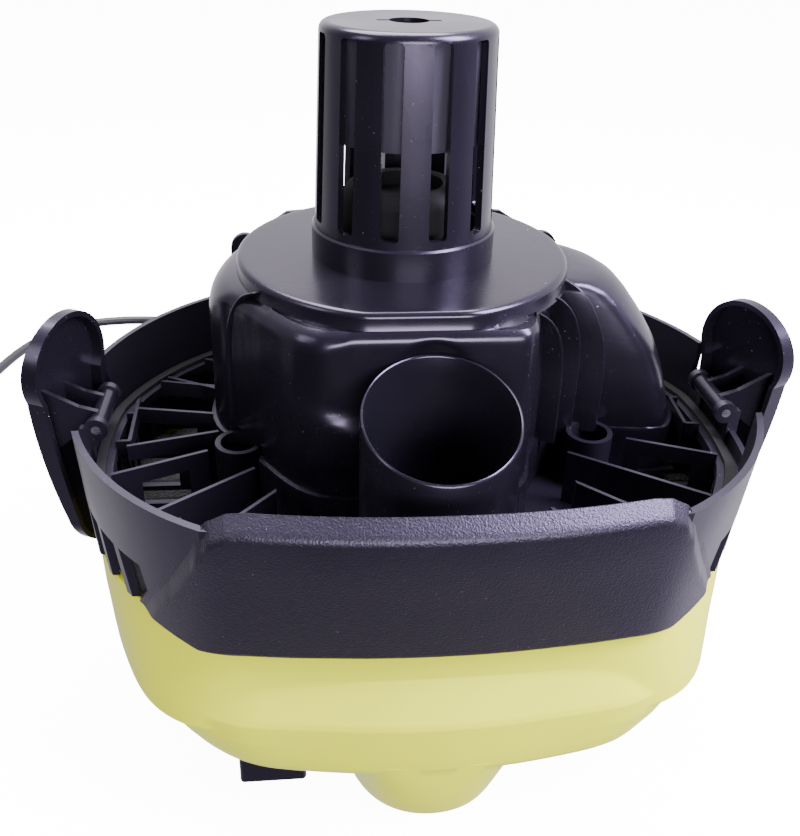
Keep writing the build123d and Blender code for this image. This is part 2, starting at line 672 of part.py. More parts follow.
with BuildPart() as carry_handle:
    with BuildSketch(Plane.XZ.offset(-HANDLE_Y - HANDLE_DEPTH / 2)):
        with BuildLine():
            Polyline((0, 0), (50, 0), (63, COVER_Z), (53, COVER_Z), (43, HANDLE_BAR), (0, HANDLE_BAR))
            mirror(about=Plane.YZ)
        make_face()
    extrude(amount=HANDLE_DEPTH)
    fillet(carry_handle.edges().filter_by(Axis.X), 4)
    with BuildSketch(Plane.XY.offset(COVER_Z)):
        with Locations(*HANDLE_SCREWS):
            Circle(SCREW_R)
    extrude(amount=-12, mode=Mode.SUBTRACT)
save(carry_handle.part, "carry_handle")


# ---- screws --------------------------------------------------------------------------------
def screws(places, head_z, shank, head_r=4.2, head_h=3.2):
    """Pan head screws pointing down, with a cross recess in each head."""
    with BuildPart() as group:
        with BuildSketch(Plane.XY.offset(head_z)):
            with Locations(*places):
                Circle(head_r)
        extrude(amount=head_h)
        fillet(group.edges().group_by(Axis.Z)[-1], 1.2)
        with BuildSketch(Plane.XY.offset(head_z)):
            with Locations(*places):
                Circle(SCREW_R)
        extrude(amount=-shank)
        with BuildSketch(Plane.XY.offset(head_z + head_h)):
            with Locations(*places):
                Rectangle(4.2, 1.0)
                Rectangle(1.0, 4.2)
        extrude(amount=-1.6, mode=Mode.SUBTRACT)
    return group.part


with BuildPart() as housing_screws:
    add(screws(ALL_BOSSES, DECK_Z, 18))
save(housing_screws.part, "housing_screws")

with BuildPart() as handle_screws:
    add(screws(HANDLE_SCREWS, COVER_Z + WALL, 13, 3.4, 2.4))
save(handle_screws.part, "handle_screws")


# ---- motor and fan, all on the dome's axis -------------------------------------------------
def turned(*steps):
    """Round piece on the motor axis, from (low z, high z, outer radius, inner radius) steps."""
    with BuildPart() as piece:
        for low, high, outer_r, inner_r in steps:
            with BuildSketch(Plane.XY.offset(low)):
                with Locations((AX, AY)):
                    Circle(outer_r)
                    if inner_r:
                        Circle(inner_r, mode=Mode.SUBTRACT)
            extrude(amount=high - low)
    return piece.part


SHAFT_R = 4.0
MOUNT_Z = 118.0                   # top of the rubber mount, under the fan's base plate
FAN_TOP = 186.0
FAN_R = 57.0
FLANGE_R = 65.0
STATOR = (72.0, 106.0)
STATOR_R, STATOR_BORE = 44.0, 26.6
BRACKET_Z = 53.0

with BuildPart() as rubber_mount:
    add(turned((DECK_Z, MOUNT_Z, 65.5, 58.0)))
save(rubber_mount.part, "rubber_mount")

with BuildPart() as fan_base:
    add(turned((MOUNT_Z, MOUNT_Z + 2, FLANGE_R, 0), (MOUNT_Z - 9, MOUNT_Z + 2, 13.5, 0)))
    add(turned((MOUNT_Z - 8, MOUNT_Z + 5, 11.0, 0)), mode=Mode.SUBTRACT)
    add(turned((MOUNT_Z - 12, MOUNT_Z + 5, 6.0, 0)), mode=Mode.SUBTRACT)
    with BuildSketch(Plane.XY.offset(MOUNT_Z - 1)):
        with Locations((AX, AY)):
            with PolarLocations(34, 6):
                Circle(7)
    extrude(amount=5, mode=Mode.SUBTRACT)
save(fan_base.part, "fan_base")

with BuildPart() as fan_housing:
    add(turned((MOUNT_Z + 2, MOUNT_Z + 3.5, FLANGE_R, FAN_R - 1), (MOUNT_Z + 2, FAN_TOP, FAN_R, FAN_R - 1)))
    add(turned((FAN_TOP - 1, FAN_TOP, FAN_R, 18.0)))
save(fan_housing.part, "fan_housing")

with BuildPart() as intake_seal:
    add(turned((FAN_TOP, DISC_Z - WALL, 36.0, 26.0)))
save(intake_seal.part, "intake_seal")

with BuildPart() as diffuser_plate:
    add(turned((MOUNT_Z + 8, MOUNT_Z + 16, FAN_R - 1.3, 12.0)))
    with BuildSketch(Plane.XY.offset(MOUNT_Z + 7)):
        with Locations((AX, AY)):
            with PolarLocations(42, 12):
                SlotOverall(18, 5)
    extrude(amount=12, mode=Mode.SUBTRACT)
    with BuildSketch(Plane.XY.offset(MOUNT_Z + 2)):
        with Locations((AX, AY)):
            with PolarLocations(50, 4, start_angle=15):
                Circle(3)
    extrude(amount=6)
save(diffuser_plate.part, "diffuser_plate")

IMPELLER = (142.0, 178.0)
with BuildPart() as impeller:
    add(turned((IMPELLER[0], IMPELLER[0] + 2, 53.0, 0), (IMPELLER[1] - 2, IMPELLER[1], 53.0, 20.0)))
    add(turned((IMPELLER[0], IMPELLER[1] - 8, 9.0, 0)))
    with BuildSketch(Plane.XY.offset(IMPELLER[0] + 1)):
        with Locations((AX, AY)):
            with PolarLocations(36, 9):
                Rectangle(32, 1.6, rotation=28)
    extrude(amount=IMPELLER[1] - IMPELLER[0] - 2)
    add(turned((IMPELLER[0] - 1, IMPELLER[1], SHAFT_R, 0)), mode=Mode.SUBTRACT)
save(impeller.part, "impeller")

with BuildPart() as impeller_nut:
    with BuildSketch(Plane.XY.offset(IMPELLER[1] - 8)):
        with Locations((AX, AY)):
            RegularPolygon(7.0, 6)
            Circle(SHAFT_R, mode=Mode.SUBTRACT)
    extrude(amount=5)
save(impeller_nut.part, "impeller_nut")

with BuildPart() as motor_shaft:
    add(turned((49.0, IMPELLER[1] - 1, SHAFT_R, 0)))
    chamfer(motor_shaft.edges().group_by(Axis.Z)[-1], 0.6)
save(motor_shaft.part, "motor_shaft")

with BuildPart() as armature:
    add(turned((STATOR[0], STATOR[1], STATOR_BORE - 0.8, 0), (67.0, 108.0, 19.0, 0)))
    with BuildSketch(Plane.XY.offset(STATOR[0])):
        with Locations((AX, AY)):
            with PolarLocations(STATOR_BORE - 1.5, 12):
                Rectangle(5, 2.4)
    extrude(amount=STATOR[1] - STATOR[0], mode=Mode.SUBTRACT)
    add(turned((60.0, 120.0, SHAFT_R, 0)), mode=Mode.SUBTRACT)
save(armature.part, "armature")

with BuildPart() as commutator:
    add(turned((57.0, 66.0, 12.0, SHAFT_R)))
save(commutator.part, "commutator")

with BuildPart() as upper_bearing:
    add(turned((MOUNT_Z - 8, MOUNT_Z, 11.0, SHAFT_R + 0.05)))
save(upper_bearing.part, "upper_bearing")

with BuildPart() as lower_bearing:
    add(turned((BRACKET_Z - 4, BRACKET_Z + 3, 9.5, SHAFT_R + 0.05)))
save(lower_bearing.part, "lower_bearing")

with BuildPart() as motor_frame:
    add(turned((STATOR[0], STATOR[1], STATOR_R, 0)))
    with BuildSketch(Plane.XY.offset(STATOR[0])):
        with Locations((AX, AY)):
            Circle(STATOR_BORE)
            with PolarLocations(STATOR_BORE + 6, 2, start_angle=90):
                Rectangle(14, 34)
    extrude(amount=STATOR[1] - STATOR[0], mode=Mode.SUBTRACT)
    with BuildSketch(Plane.XY.offset(STATOR[1])):
        with Locations((AX, AY)):
            with PolarLocations(40, 4, start_angle=45):
                Circle(3)
    extrude(amount=MOUNT_Z - STATOR[1])
save(motor_frame.part, "motor_frame")

with BuildPart() as field_coils:
    for low in (STATOR[0] - 7, STATOR[1]):
        with BuildSketch(Plane.XY.offset(low)):
            with Locations((AX, AY)):
                with PolarLocations(32, 2):
                    RectangleRounded(9, 44, 4)
        extrude(amount=7)
save(field_coils.part, "field_coils")

with BuildPart() as motor_bracket:
    add(turned((BRACKET_Z, BRACKET_Z + 3, STATOR_R, 0), (BRACKET_Z - 5, BRACKET_Z + 3, 12.0, 0)))
    with BuildSketch(Plane.XY.offset(BRACKET_Z + 3)):
        with Locations((AX, AY)):
            with PolarLocations(40, 4, start_angle=45):
                Circle(3)
    extrude(amount=STATOR[0] - BRACKET_Z - 3)
    add(turned((BRACKET_Z - 4, BRACKET_Z + 5, 9.5, 0)), mode=Mode.SUBTRACT)
    with BuildSketch(Plane.XY.offset(BRACKET_Z - 1)):
        with Locations((AX, AY)):
            with PolarLocations(28, 4):
                Circle(6)
    extrude(amount=6, mode=Mode.SUBTRACT)
save(motor_bracket.part, "motor_bracket")

BRUSH_Z = (58.0, 64.0)
with BuildPart() as brush_holders:
    with BuildSketch(Plane.XY.offset(BRACKET_Z + 3)):
        with Locations((AX, AY)):
            with PolarLocations(25, 2, start_angle=45):
                Rectangle(20, 10)
    extrude(amount=10)
    with BuildSketch(Plane.XY.offset(BRUSH_Z[0])):
        with Locations((AX, AY)):
            with PolarLocations(20, 2, start_angle=45):
                Rectangle(20, 6)
    extrude(amount=BRUSH_Z[1] - BRUSH_Z[0], mode=Mode.SUBTRACT)
save(brush_holders.part, "brush_holders")

with BuildPart() as carbon_brushes:
    with BuildSketch(Plane.XY.offset(BRUSH_Z[0])):
        with Locations((AX, AY)):
            with PolarLocations(20.5, 2, start_angle=45):
                Rectangle(16, 6)
    extrude(amount=BRUSH_Z[1] - BRUSH_Z[0])
save(carbon_brushes.part, "carbon_brushes")

with BuildPart() as exhaust_foam:
    add(turned((64.0, DECK_Z - WALL, 65.0, 57.0)))
save(exhaust_foam.part, "exhaust_foam")

with BuildPart() as suppression_capacitor:
    with BuildSketch(Plane.XY.offset(COVER_Z + WALL)):
        with Locations((-78.0, -28.0)):
            Circle(8)
    extrude(amount=24)
    fillet(suppression_capacitor.edges().group_by(Axis.Z)[-1], 1.0)
save(suppression_capacitor.part, "suppression_capacitor")


# ---- mains cord: gland, free run on the floor, put-away coil and plug ----------------------
FLOOR_Z = CORD_D / 2 + 0.1
GLAND_END_Y = 138.0
ROUTE = [
    (GLAND_X, GLAND_END_Y, GLAND_Z),
    (-45.5, 172, 62),
    (-47, 214, 42),
    (-50, 258, 16),
    (-57, 303, FLOOR_Z),
    (-74, 346, FLOOR_Z),
    (-108, 374, FLOOR_Z),
    (-150, 387, FLOOR_Z),
    (-196, 396, FLOOR_Z),
    (-242, 388, FLOOR_Z),
    (-273, 355, FLOOR_Z),
    (-288, 308, FLOOR_Z),
    (-296, 258, FLOOR_Z),
]
COIL_MEAN_R = 40.0
COIL_BAND = 28.0                  # width and height of the bundle of turns
COIL_AT = (-344.0, 226.0)
PLUG_Z = 13.0
PLUG_ROUTE = [
    (-394.5, 238, FLOOR_Z),
    (-396, 268, FLOOR_Z),
    (-390, 298, FLOOR_Z + 1.5),
    (-376, 322, 9.5),
    (-359, 341, PLUG_Z),
]

with BuildPart() as strain_relief:
    with BuildSketch(Plane.XZ.offset(-96)):
        with Locations((GLAND_X, GLAND_Z)):
            Circle(8)
    extrude(amount=-2.5)
    with BuildSketch(Plane.XZ.offset(-98)):
        with Locations((GLAND_X, GLAND_Z)):
            Circle(5.8)
    extrude(amount=-9)
    with BuildSketch(Plane.XZ.offset(-106.8)):
        with Locations((GLAND_X, GLAND_Z)):
            Circle(7.5)
    with BuildSketch(Plane.XZ.offset(-GLAND_END_Y)):
        with Locations((GLAND_X, GLAND_Z)):
            Circle(CORD_D / 2 + 1.0)
    loft()
save(strain_relief.part, "strain_relief")


def route_radii(points):
    """Largest arc at each inner corner: 0.45 of the shorter run over the tangent of half the turn."""
    radii = []
    for before, here, after in zip(points, points[1:], points[2:]):
        run_in = Vector(*here) - Vector(*before)
        run_out = Vector(*after) - Vector(*here)
        half_turn = math.radians(run_in.get_angle(run_out) / 2)
        radii.append(0.45 * min(run_in.length, run_out.length) / math.tan(half_turn))
    return radii


def cord_tube(points, name):
    radii = route_radii(points)
    print(name, "radii", [round(radius) for radius in radii])
    with BuildPart() as tube:
        with BuildLine() as path:
            FilletPolyline(*points, radius=radii)
        with BuildSketch(Plane(origin=path.line @ 0, z_dir=path.line % 0)):
            Circle(CORD_D / 2)
        sweep()
    length = sum(edge.length for edge in path.line.edges())
    expected = math.pi * CORD_D ** 2 / 4 * length
    ratio = round(tube.part.volume / expected, 4)
    print(name, "length", round(length), "volume over section times length", ratio)
    return tube.part


with BuildPart() as mains_cord:
    add(cord_tube(ROUTE, "mains_cord"))
save(mains_cord.part, "mains_cord")

with BuildPart() as cord_coil:
    with BuildSketch(Plane.XY):
        with Locations(COIL_AT):
            Circle(COIL_MEAN_R + COIL_BAND / 2)
            Circle(COIL_MEAN_R - COIL_BAND / 2, mode=Mode.SUBTRACT)
    extrude(amount=COIL_BAND)
save(cord_coil.part, "cord_coil")

with BuildPart() as plug_lead:
    add(cord_tube(PLUG_ROUTE, "plug_lead"))
save(plug_lead.part, "plug_lead")

plug_way = Vector(*PLUG_ROUTE[-1]) - Vector(*PLUG_ROUTE[-2])
plug_axis = Vector(plug_way.X, plug_way.Y, 0).normalized()
plug_start = Plane(origin=PLUG_ROUTE[-1], x_dir=Vector(0, 0, 1).cross(plug_axis), z_dir=plug_axis)
with BuildPart() as plug_body:
    with BuildSketch(plug_start):
        RectangleRounded(13, 11, 4)
    with BuildSketch(plug_start.offset(24)):
        RectangleRounded(33, 24, 8)
    loft()
    with BuildSketch(plug_start.offset(24)):
        RectangleRounded(33, 24, 8)
    extrude(amount=14)
    fillet(plug_body.faces().sort_by(Axis(plug_start.origin, tuple(plug_axis)))[-1].edges(), 2)
save(plug_body.part, "plug_body")

with BuildPart() as plug_pins:
    with BuildSketch(plug_start.offset(38)):
        with Locations((-9.5, 0), (9.5, 0)):
            Circle(2.4)
    extrude(amount=19)
    fillet(plug_pins.faces().sort_by(Axis(plug_start.origin, tuple(plug_axis)))[-2:].edges(), 1.5)
save(plug_pins.part, "plug_pins")
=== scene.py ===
"""Looks of a wet and dry vacuum cleaner's motor head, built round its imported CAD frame.

Shapes are worked out in millimetres in the frame's axes and written to the meshes in metres.
"""
import json
import math
import bmesh
import bpy
import numpy as np
from mathutils import Matrix, Vector


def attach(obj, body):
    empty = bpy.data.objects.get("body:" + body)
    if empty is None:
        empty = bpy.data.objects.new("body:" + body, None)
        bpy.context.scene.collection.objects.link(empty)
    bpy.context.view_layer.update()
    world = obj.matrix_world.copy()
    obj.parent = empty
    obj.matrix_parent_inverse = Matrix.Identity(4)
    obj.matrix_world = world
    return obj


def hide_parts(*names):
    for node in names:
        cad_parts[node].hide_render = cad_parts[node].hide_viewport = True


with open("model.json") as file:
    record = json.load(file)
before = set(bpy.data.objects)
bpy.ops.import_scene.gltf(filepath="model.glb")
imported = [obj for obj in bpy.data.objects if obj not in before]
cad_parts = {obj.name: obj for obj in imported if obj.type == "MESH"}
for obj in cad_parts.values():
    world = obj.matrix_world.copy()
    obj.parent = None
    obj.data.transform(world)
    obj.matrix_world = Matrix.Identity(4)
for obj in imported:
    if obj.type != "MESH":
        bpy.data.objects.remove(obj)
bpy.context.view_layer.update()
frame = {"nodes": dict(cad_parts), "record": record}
NODES = frame["nodes"]
MM = 0.001
HEAD = "head"

# ---- camera -------------------------------------------------------------------------------
CAMERA_AT = Vector((-0.0490, -0.3632, 0.3493))
LOOK_SIDE = math.radians(-6.0)       # turned from +Y towards -X
LOOK_DOWN = math.radians(29.05)
ROLL = math.radians(-1.55)
FOCAL_PX = 930.0
IMAGE = (800, 836)
CENTRE_PX = (391.4, 391.0)


def make_camera():
    data = bpy.data.cameras.new("camera")
    camera = bpy.data.objects.new("camera", data)
    bpy.context.scene.collection.objects.link(camera)
    forward = Vector((-math.sin(LOOK_SIDE) * math.cos(LOOK_DOWN),
                      math.cos(LOOK_SIDE) * math.cos(LOOK_DOWN),
                      -math.sin(LOOK_DOWN)))
    right = forward.cross(Vector((0, 0, 1))).normalized()
    down = forward.cross(right)
    image_x = right * math.cos(ROLL) + down * math.sin(ROLL)
    image_y = down * math.cos(ROLL) - right * math.sin(ROLL)
    turn = Matrix((image_x, -image_y, -forward)).transposed()
    camera.matrix_world = Matrix.Translation(CAMERA_AT) @ turn.to_4x4()
    data.sensor_fit = "VERTICAL"
    data.sensor_height = 24.0
    data.lens = FOCAL_PX / IMAGE[1] * data.sensor_height
    data.shift_x = (IMAGE[0] / 2 - CENTRE_PX[0]) / IMAGE[1]
    data.shift_y = (CENTRE_PX[1] - IMAGE[1] / 2) / IMAGE[1]
    data.clip_start = 0.01
    bpy.context.scene.camera = camera


make_camera()

# ---- materials ----------------------------------------------------------------------------
def new_material(name):
    material = bpy.data.materials.new(name)
    material.use_nodes = True
    nodes = material.node_tree.nodes
    return material, nodes, material.node_tree.links, nodes["Principled BSDF"]


def noise_node(nodes, links, scale, detail=2.0, stretch=None):
    """Noise over the object's own coordinates, scale in cycles per metre."""
    place = nodes.new("ShaderNodeTexCoord")
    out = place.outputs["Object"]
    if stretch:
        mapping = nodes.new("ShaderNodeMapping")
        mapping.inputs["Scale"].default_value = stretch
        links.new(out, mapping.inputs["Vector"])
        out = mapping.outputs["Vector"]
    noise = nodes.new("ShaderNodeTexNoise")
    noise.inputs["Scale"].default_value = scale
    noise.inputs["Detail"].default_value = detail
    links.new(out, noise.inputs["Vector"])
    return noise.outputs["Fac"]


def ramp(nodes, links, source, low, high, out_low=0.0, out_high=1.0):
    node = nodes.new("ShaderNodeMapRange")
    node.inputs["From Min"].default_value = low
    node.inputs["From Max"].default_value = high
    node.inputs["To Min"].default_value = out_low
    node.inputs["To Max"].default_value = out_high
    links.new(source, node.inputs["Value"])
    return node.outputs["Result"]


def mix_colour(nodes, links, factor, first, second):
    """Mix of two colours; each is a tuple or an output socket."""
    node = nodes.new("ShaderNodeMix")
    node.data_type = "RGBA"
    links.new(factor, node.inputs["Factor"])
    for value, socket in ((first, node.inputs[6]), (second, node.inputs[7])):
        if isinstance(value, tuple):
            socket.default_value = (*value, 1.0)
        else:
            links.new(value, socket)
    return node.outputs[2]


DUST_COLOUR = (0.30, 0.28, 0.34)
SPECKS_A_METRE, PATCHES_A_METRE = 900.0, 14.0
SCRATCH_STRETCH, SCRATCH_GLOSS = (1.0, 9.0, 1.6), 0.04
GRAIN_DEPTH = 0.00035


def plastic(name, colour, rough, vary=0.06, grain=0.0, grain_size=0.0011, dust=0.0,
            tint=(1.0, 1.0, 1.0), specular=0.5):
    """Moulded plastic with slow colour and gloss variation, hairline scratches, dust specks and grain."""
    material, nodes, links, shader = new_material(name)
    clouds = noise_node(nodes, links, PATCHES_A_METRE, 3.0)
    lighter = tuple(min(1.0, c * 1.22 + 0.002) for c in colour)
    base = mix_colour(nodes, links, clouds, colour, lighter)
    fine = noise_node(nodes, links, 260.0, 3.0)
    scratches = noise_node(nodes, links, 90.0, 6.0, stretch=SCRATCH_STRETCH)
    rubbed = ramp(nodes, links, scratches, 0.60, 0.74)
    if dust:
        spots = noise_node(nodes, links, SPECKS_A_METRE, 1.0)
        specks = ramp(nodes, links, spots, 0.78 - dust * 0.05, 0.84 - dust * 0.05)
        patches = ramp(nodes, links, noise_node(nodes, links, PATCHES_A_METRE, 2.0), 0.46, 0.66)
        both = nodes.new("ShaderNodeMath")
        both.operation = "MULTIPLY"
        links.new(specks, both.inputs[0])
        links.new(patches, both.inputs[1])
        base = mix_colour(nodes, links, both.outputs["Value"], base, DUST_COLOUR)
    links.new(base, shader.inputs["Base Color"])
    low, high = max(rough - vary, 0.05), min(rough + vary, 1.0)
    gloss = ramp(nodes, links, clouds, 0.3, 0.7, low, high)
    worn = nodes.new("ShaderNodeMath")
    worn.operation = "MULTIPLY_ADD"
    links.new(rubbed, worn.inputs[0])
    worn.inputs[1].default_value = SCRATCH_GLOSS
    links.new(gloss, worn.inputs[2])
    links.new(worn.outputs["Value"], shader.inputs["Roughness"])
    bump = nodes.new("ShaderNodeBump")
    if grain:
        links.new(noise_node(nodes, links, 1.0 / grain_size, 2.0), bump.inputs["Height"])
        bump.inputs["Strength"].default_value = grain
        bump.inputs["Distance"].default_value = GRAIN_DEPTH
    else:
        links.new(fine, bump.inputs["Height"])
        bump.inputs["Strength"].default_value = 0.05
        bump.inputs["Distance"].default_value = 0.0003
    links.new(bump.outputs["Normal"], shader.inputs["Normal"])
    shader.inputs["Specular IOR Level"].default_value = specular
    shader.inputs["Specular Tint"].default_value = (*tint, 1.0)
    return material


def metal(name, colour, rough, streaks=(1.0, 1.0, 14.0)):
    material, nodes, links, shader = new_material(name)
    brush = noise_node(nodes, links, 160.0, 4.0, stretch=streaks)
    darker = tuple(c * 0.72 for c in colour)
    links.new(mix_colour(nodes, links, brush, darker, colour), shader.inputs["Base Color"])
    links.new(ramp(nodes, links, brush, 0.3, 0.7, rough - 0.08, rough + 0.1), shader.inputs["Roughness"])
    shader.inputs["Metallic"].default_value = 1.0
    return material


def foam_and_shade_material():
    material, nodes, links, shader = new_material("foam_and_shade_look")
    cells = nodes.new("ShaderNodeTexVoronoi")
    cells.inputs["Scale"].default_value = 700.0
    place = nodes.new("ShaderNodeTexCoord")
    links.new(place.outputs["Object"], cells.inputs["Vector"])
    # Near-black foam cells. On the band behind the slots this dark colour is painted shade.
    shade = mix_colour(nodes, links, cells.outputs["Distance"], (0.004, 0.004, 0.005), (0.02, 0.02, 0.022))
    links.new(shade, shader.inputs["Base Color"])
    bump = nodes.new("ShaderNodeBump")
    bump.inputs["Strength"].default_value = 0.8
    bump.inputs["Distance"].default_value = 0.001
    links.new(cells.outputs["Distance"], bump.inputs["Height"])
    links.new(bump.outputs["Normal"], shader.inputs["Normal"])
    shader.inputs["Roughness"].default_value = 0.9
    return material


# The cast that the black plastic has in its highlights
VIOLET = (0.80, 0.70, 1.0)
MATERIALS = {
    "black_gloss": plastic("black_gloss_look", (0.0040, 0.0035, 0.0060), 0.25, dust=0.45, tint=VIOLET),
    "black_satin": plastic("black_satin_look", (0.0055, 0.0050, 0.0080), 0.36, dust=0.35, tint=VIOLET),
    "black_grained": plastic("black_grained_look", (0.0060, 0.0054, 0.0085), 0.40, grain=0.7,
                             grain_size=0.0008, dust=0.4, tint=VIOLET),
    "yellow_plastic": plastic("yellow_plastic_look", (0.62, 0.66, 0.02), 0.40, vary=0.04, specular=0.35),
    "sleeve": plastic("sleeve_look", (0.022, 0.020, 0.028), 0.42, dust=0.4, tint=VIOLET),
    "rubber": plastic("rubber_look", (0.006, 0.006, 0.007), 0.75, grain=0.2, grain_size=0.0006,
                      specular=0.2),
    "cable_jacket": plastic("cable_jacket_look", (0.010, 0.009, 0.012), 0.42, grain=0.12,
                            grain_size=0.0008),
    "capacitor_case": plastic("capacitor_case_look", (0.60, 0.56, 0.42), 0.4),
    "carbon": plastic("carbon_look", (0.02, 0.02, 0.02), 0.6, grain=0.2, grain_size=0.0005),
    "steel": metal("steel_look", (0.62, 0.62, 0.64), 0.30),
    "aluminium": metal("aluminium_look", (0.74, 0.75, 0.77), 0.34),
    "copper": metal("copper_look", (0.72, 0.33, 0.16), 0.34),
    "brass": metal("brass_look", (0.75, 0.56, 0.26), 0.30),
    "plated_brass": metal("plated_brass_look", (0.78, 0.78, 0.80), 0.18),
    "foam": foam_and_shade_material(),
}


# ---- mesh helpers -------------------------------------------------------------------------
def add_object(name, data, slot, body=HEAD):
    piece = bpy.data.objects.new(name, data)
    bpy.context.scene.collection.objects.link(piece)
    piece.data.materials.append(MATERIALS[slot])
    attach(piece, body)
    return piece


def mesh_from(name, points, faces, sharp=35.0):
    mesh = bpy.data.meshes.new(name)
    mesh.from_pydata([tuple(float(c) * MM for c in p) for p in points], [], faces)
    mesh.validate()
    work = bmesh.new()
    work.from_mesh(mesh)
    bmesh.ops.recalc_face_normals(work, faces=work.faces)
    work.to_mesh(mesh)
    work.free()
    smooth(mesh, sharp)
    return mesh


def smooth(mesh, sharp):
    mesh.polygons.foreach_set("use_smooth", [True] * len(mesh.polygons))
    mesh.set_sharp_from_angle(angle=math.radians(sharp))


def loops_mesh(name, loops, ring=False, sharp=35.0):
    """Closed loops of points joined by quads, with the ends capped or, as a ring, joined to each other."""
    count = len(loops[0])
    points = [p for loop in loops for p in loop]
    faces = []
    pairs = list(zip(range(len(loops) - 1), range(1, len(loops))))
    if ring:
        pairs.append((len(loops) - 1, 0))
    for a, b in pairs:
        for i in range(count):
            j = (i + 1) % count
            faces.append((a * count + i, a * count + j, b * count + j, b * count + i))
    if not ring:
        for row, flip in ((0, True), (len(loops) - 1, False)):
            centre = np.mean(loops[row], axis=0)
            points.append(tuple(centre))
            hub = len(points) - 1
            for i in range(count):
                j = (i + 1) % count
                a, b = row * count + i, row * count + j
                faces.append((b, a, hub) if flip else (a, b, hub))
    return mesh_from(name, points, faces, sharp)


def combine(base, tool, operation):
    """Boolean of two closed meshes, as a new mesh; the inputs are used up."""
    first = bpy.data.objects.new("first", base)
    second = bpy.data.objects.new("second", tool)
    for item in (first, second):
        bpy.context.scene.collection.objects.link(item)
    modifier = first.modifiers.new("cut", "BOOLEAN")
    modifier.operation = operation
    modifier.object = second
    modifier.solver = "EXACT"
    depsgraph = bpy.context.evaluated_depsgraph_get()
    result = bpy.data.meshes.new_from_object(first.evaluated_get(depsgraph))
    for item in (first, second):
        bpy.data.objects.remove(item)
    return result


def box_mesh(low, high, round_by=0.0):
    work = bmesh.new()
    bmesh.ops.create_cube(work, size=1.0)
    for v in work.verts:
        for axis in range(3):
            v.co[axis] = (low[axis] if v.co[axis] < 0 else high[axis]) * MM
    if round_by:
        bmesh.ops.bevel(work, geom=work.edges[:], offset=round_by * MM, segments=3, affect="EDGES",
                        profile=0.5)
    mesh = bpy.data.meshes.new("box")
    work.to_mesh(mesh)
    work.free()
    return mesh


def cylinder_mesh(x, y, low, high, radius, count=96):
    turn = np.linspace(0, 2 * math.pi, count, endpoint=False)
    rings = [[(x + radius * math.cos(t), y + radius * math.sin(t), z) for t in turn] for z in (low, high)]
    return loops_mesh("cylinder", rings)


# ---- mains cord ---------------------------------------------------------------------------
CORD_D = 7.0
FLOOR_Z = CORD_D / 2 + 0.1
ROUTE = [
    (-45, 138, 66), (-45.5, 172, 62), (-47, 214, 42), (-50, 258, 16), (-57, 303, FLOOR_Z),
    (-74, 346, FLOOR_Z), (-108, 374, FLOOR_Z), (-150, 387, FLOOR_Z), (-196, 396, FLOOR_Z),
    (-242, 388, FLOOR_Z), (-273, 355, FLOOR_Z), (-288, 308, FLOOR_Z), (-296, 258, FLOOR_Z),
]
PLUG_ROUTE = [
    (-401, 244, FLOOR_Z), (-398, 270, FLOOR_Z), (-390, 298, FLOOR_Z + 1.5), (-376, 322, 9.5),
    (-359, 341, 13.0),
]
COIL_AT = (-344.0, 226.0)
COIL_OUT, COIL_IN = 52.0, 31.0
COIL_LAYERS = 4
POINTS_A_TURN = 16


def coil_points():
    """Layers wound inwards and outwards in turn, then half a turn down the outside."""
    turns = (COIL_OUT - COIL_IN) / CORD_D
    steps = round(turns * POINTS_A_TURN)
    points = []
    for i in range(COIL_LAYERS * steps + 1):
        layer, step = divmod(i, steps)
        part = step / steps
        across = part if layer % 2 == 0 else 1 - part
        rise = min(max((part - 0.9) / 0.1, 0.0), 1.0)
        level = min(layer + rise, COIL_LAYERS - 1)
        points.append((i, COIL_OUT + (COIL_IN - COIL_OUT) * across, FLOOR_Z + (CORD_D - 0.05) * level))
    top = points[-1][2]
    down = POINTS_A_TURN // 2
    for k in range(1, down + 1):
        part = k / down
        roll = min(part / 0.4, 1.0) * math.pi / 2
        drop = CORD_D * (1 - math.cos(roll))
        if part > 0.4:
            drop = CORD_D + (top - FLOOR_Z - CORD_D) * (part - 0.4) / 0.6
        points.append((COIL_LAYERS * steps + k, COIL_OUT + (CORD_D + 0.4) * math.sin(roll), top - drop))
    placed = []
    for i, radius, z in points:
        angle = -2 * math.pi * i / POINTS_A_TURN
        placed.append((COIL_AT[0] + radius * math.cos(angle), COIL_AT[1] + radius * math.sin(angle), z))
    return placed


def make_cord():
    curve = bpy.data.curves.new("mains_lead", "CURVE")
    curve.dimensions = "3D"
    spline = curve.splines.new("NURBS")
    points = ROUTE + coil_points() + PLUG_ROUTE
    spline.points.add(len(points) - 1)
    for point, place in zip(spline.points, points):
        point.co = (*(c * MM for c in place), 1.0)
    spline.order_u = 3
    spline.use_endpoint_u = True
    spline.resolution_u = 6
    curve.bevel_depth = CORD_D / 2 * MM
    curve.bevel_resolution = 5
    curve.use_fill_caps = True
    cord = add_object("mains_lead", curve, "cable_jacket")
    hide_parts("mains_cord", "cord_coil", "plug_lead")


make_cord()

# ---- outline of the head, as in the CAD ---------------------------------------------------
HALF_W, HALF_D = 144.0, 119.5
RIM_Z, SEAM_Z = 156.0, 98.0
SEAM_DX, SEAM_DY = -2.0, -9.0
PIPE_Y = -76.0
AX, AY = -5.3, 23.6             # the dome's axis
PLAN_ARCS = [
    ((-86, -110), (0, -119.5), (86, -110)), ((86, -110), (118, -84), (141, -43)),
    ((141, -43), (144, -10), (142, 23)), ((142, 23), (126, 58), (98, 88)),
    ((98, 88), (85, 99.5), (70, 108)), ((70, 108), (0, 119.5), (-70, 108)),
    ((-70, 108), (-85, 99.5), (-98, 88)), ((-98, 88), (-126, 58), (-142, 23)),
    ((-142, 23), (-144, -10), (-141, -43)), ((-141, -43), (-118, -84), (-86, -110)),
]
PLAN_COUNT = 480
CORNER_SOFTNESS = 7.0


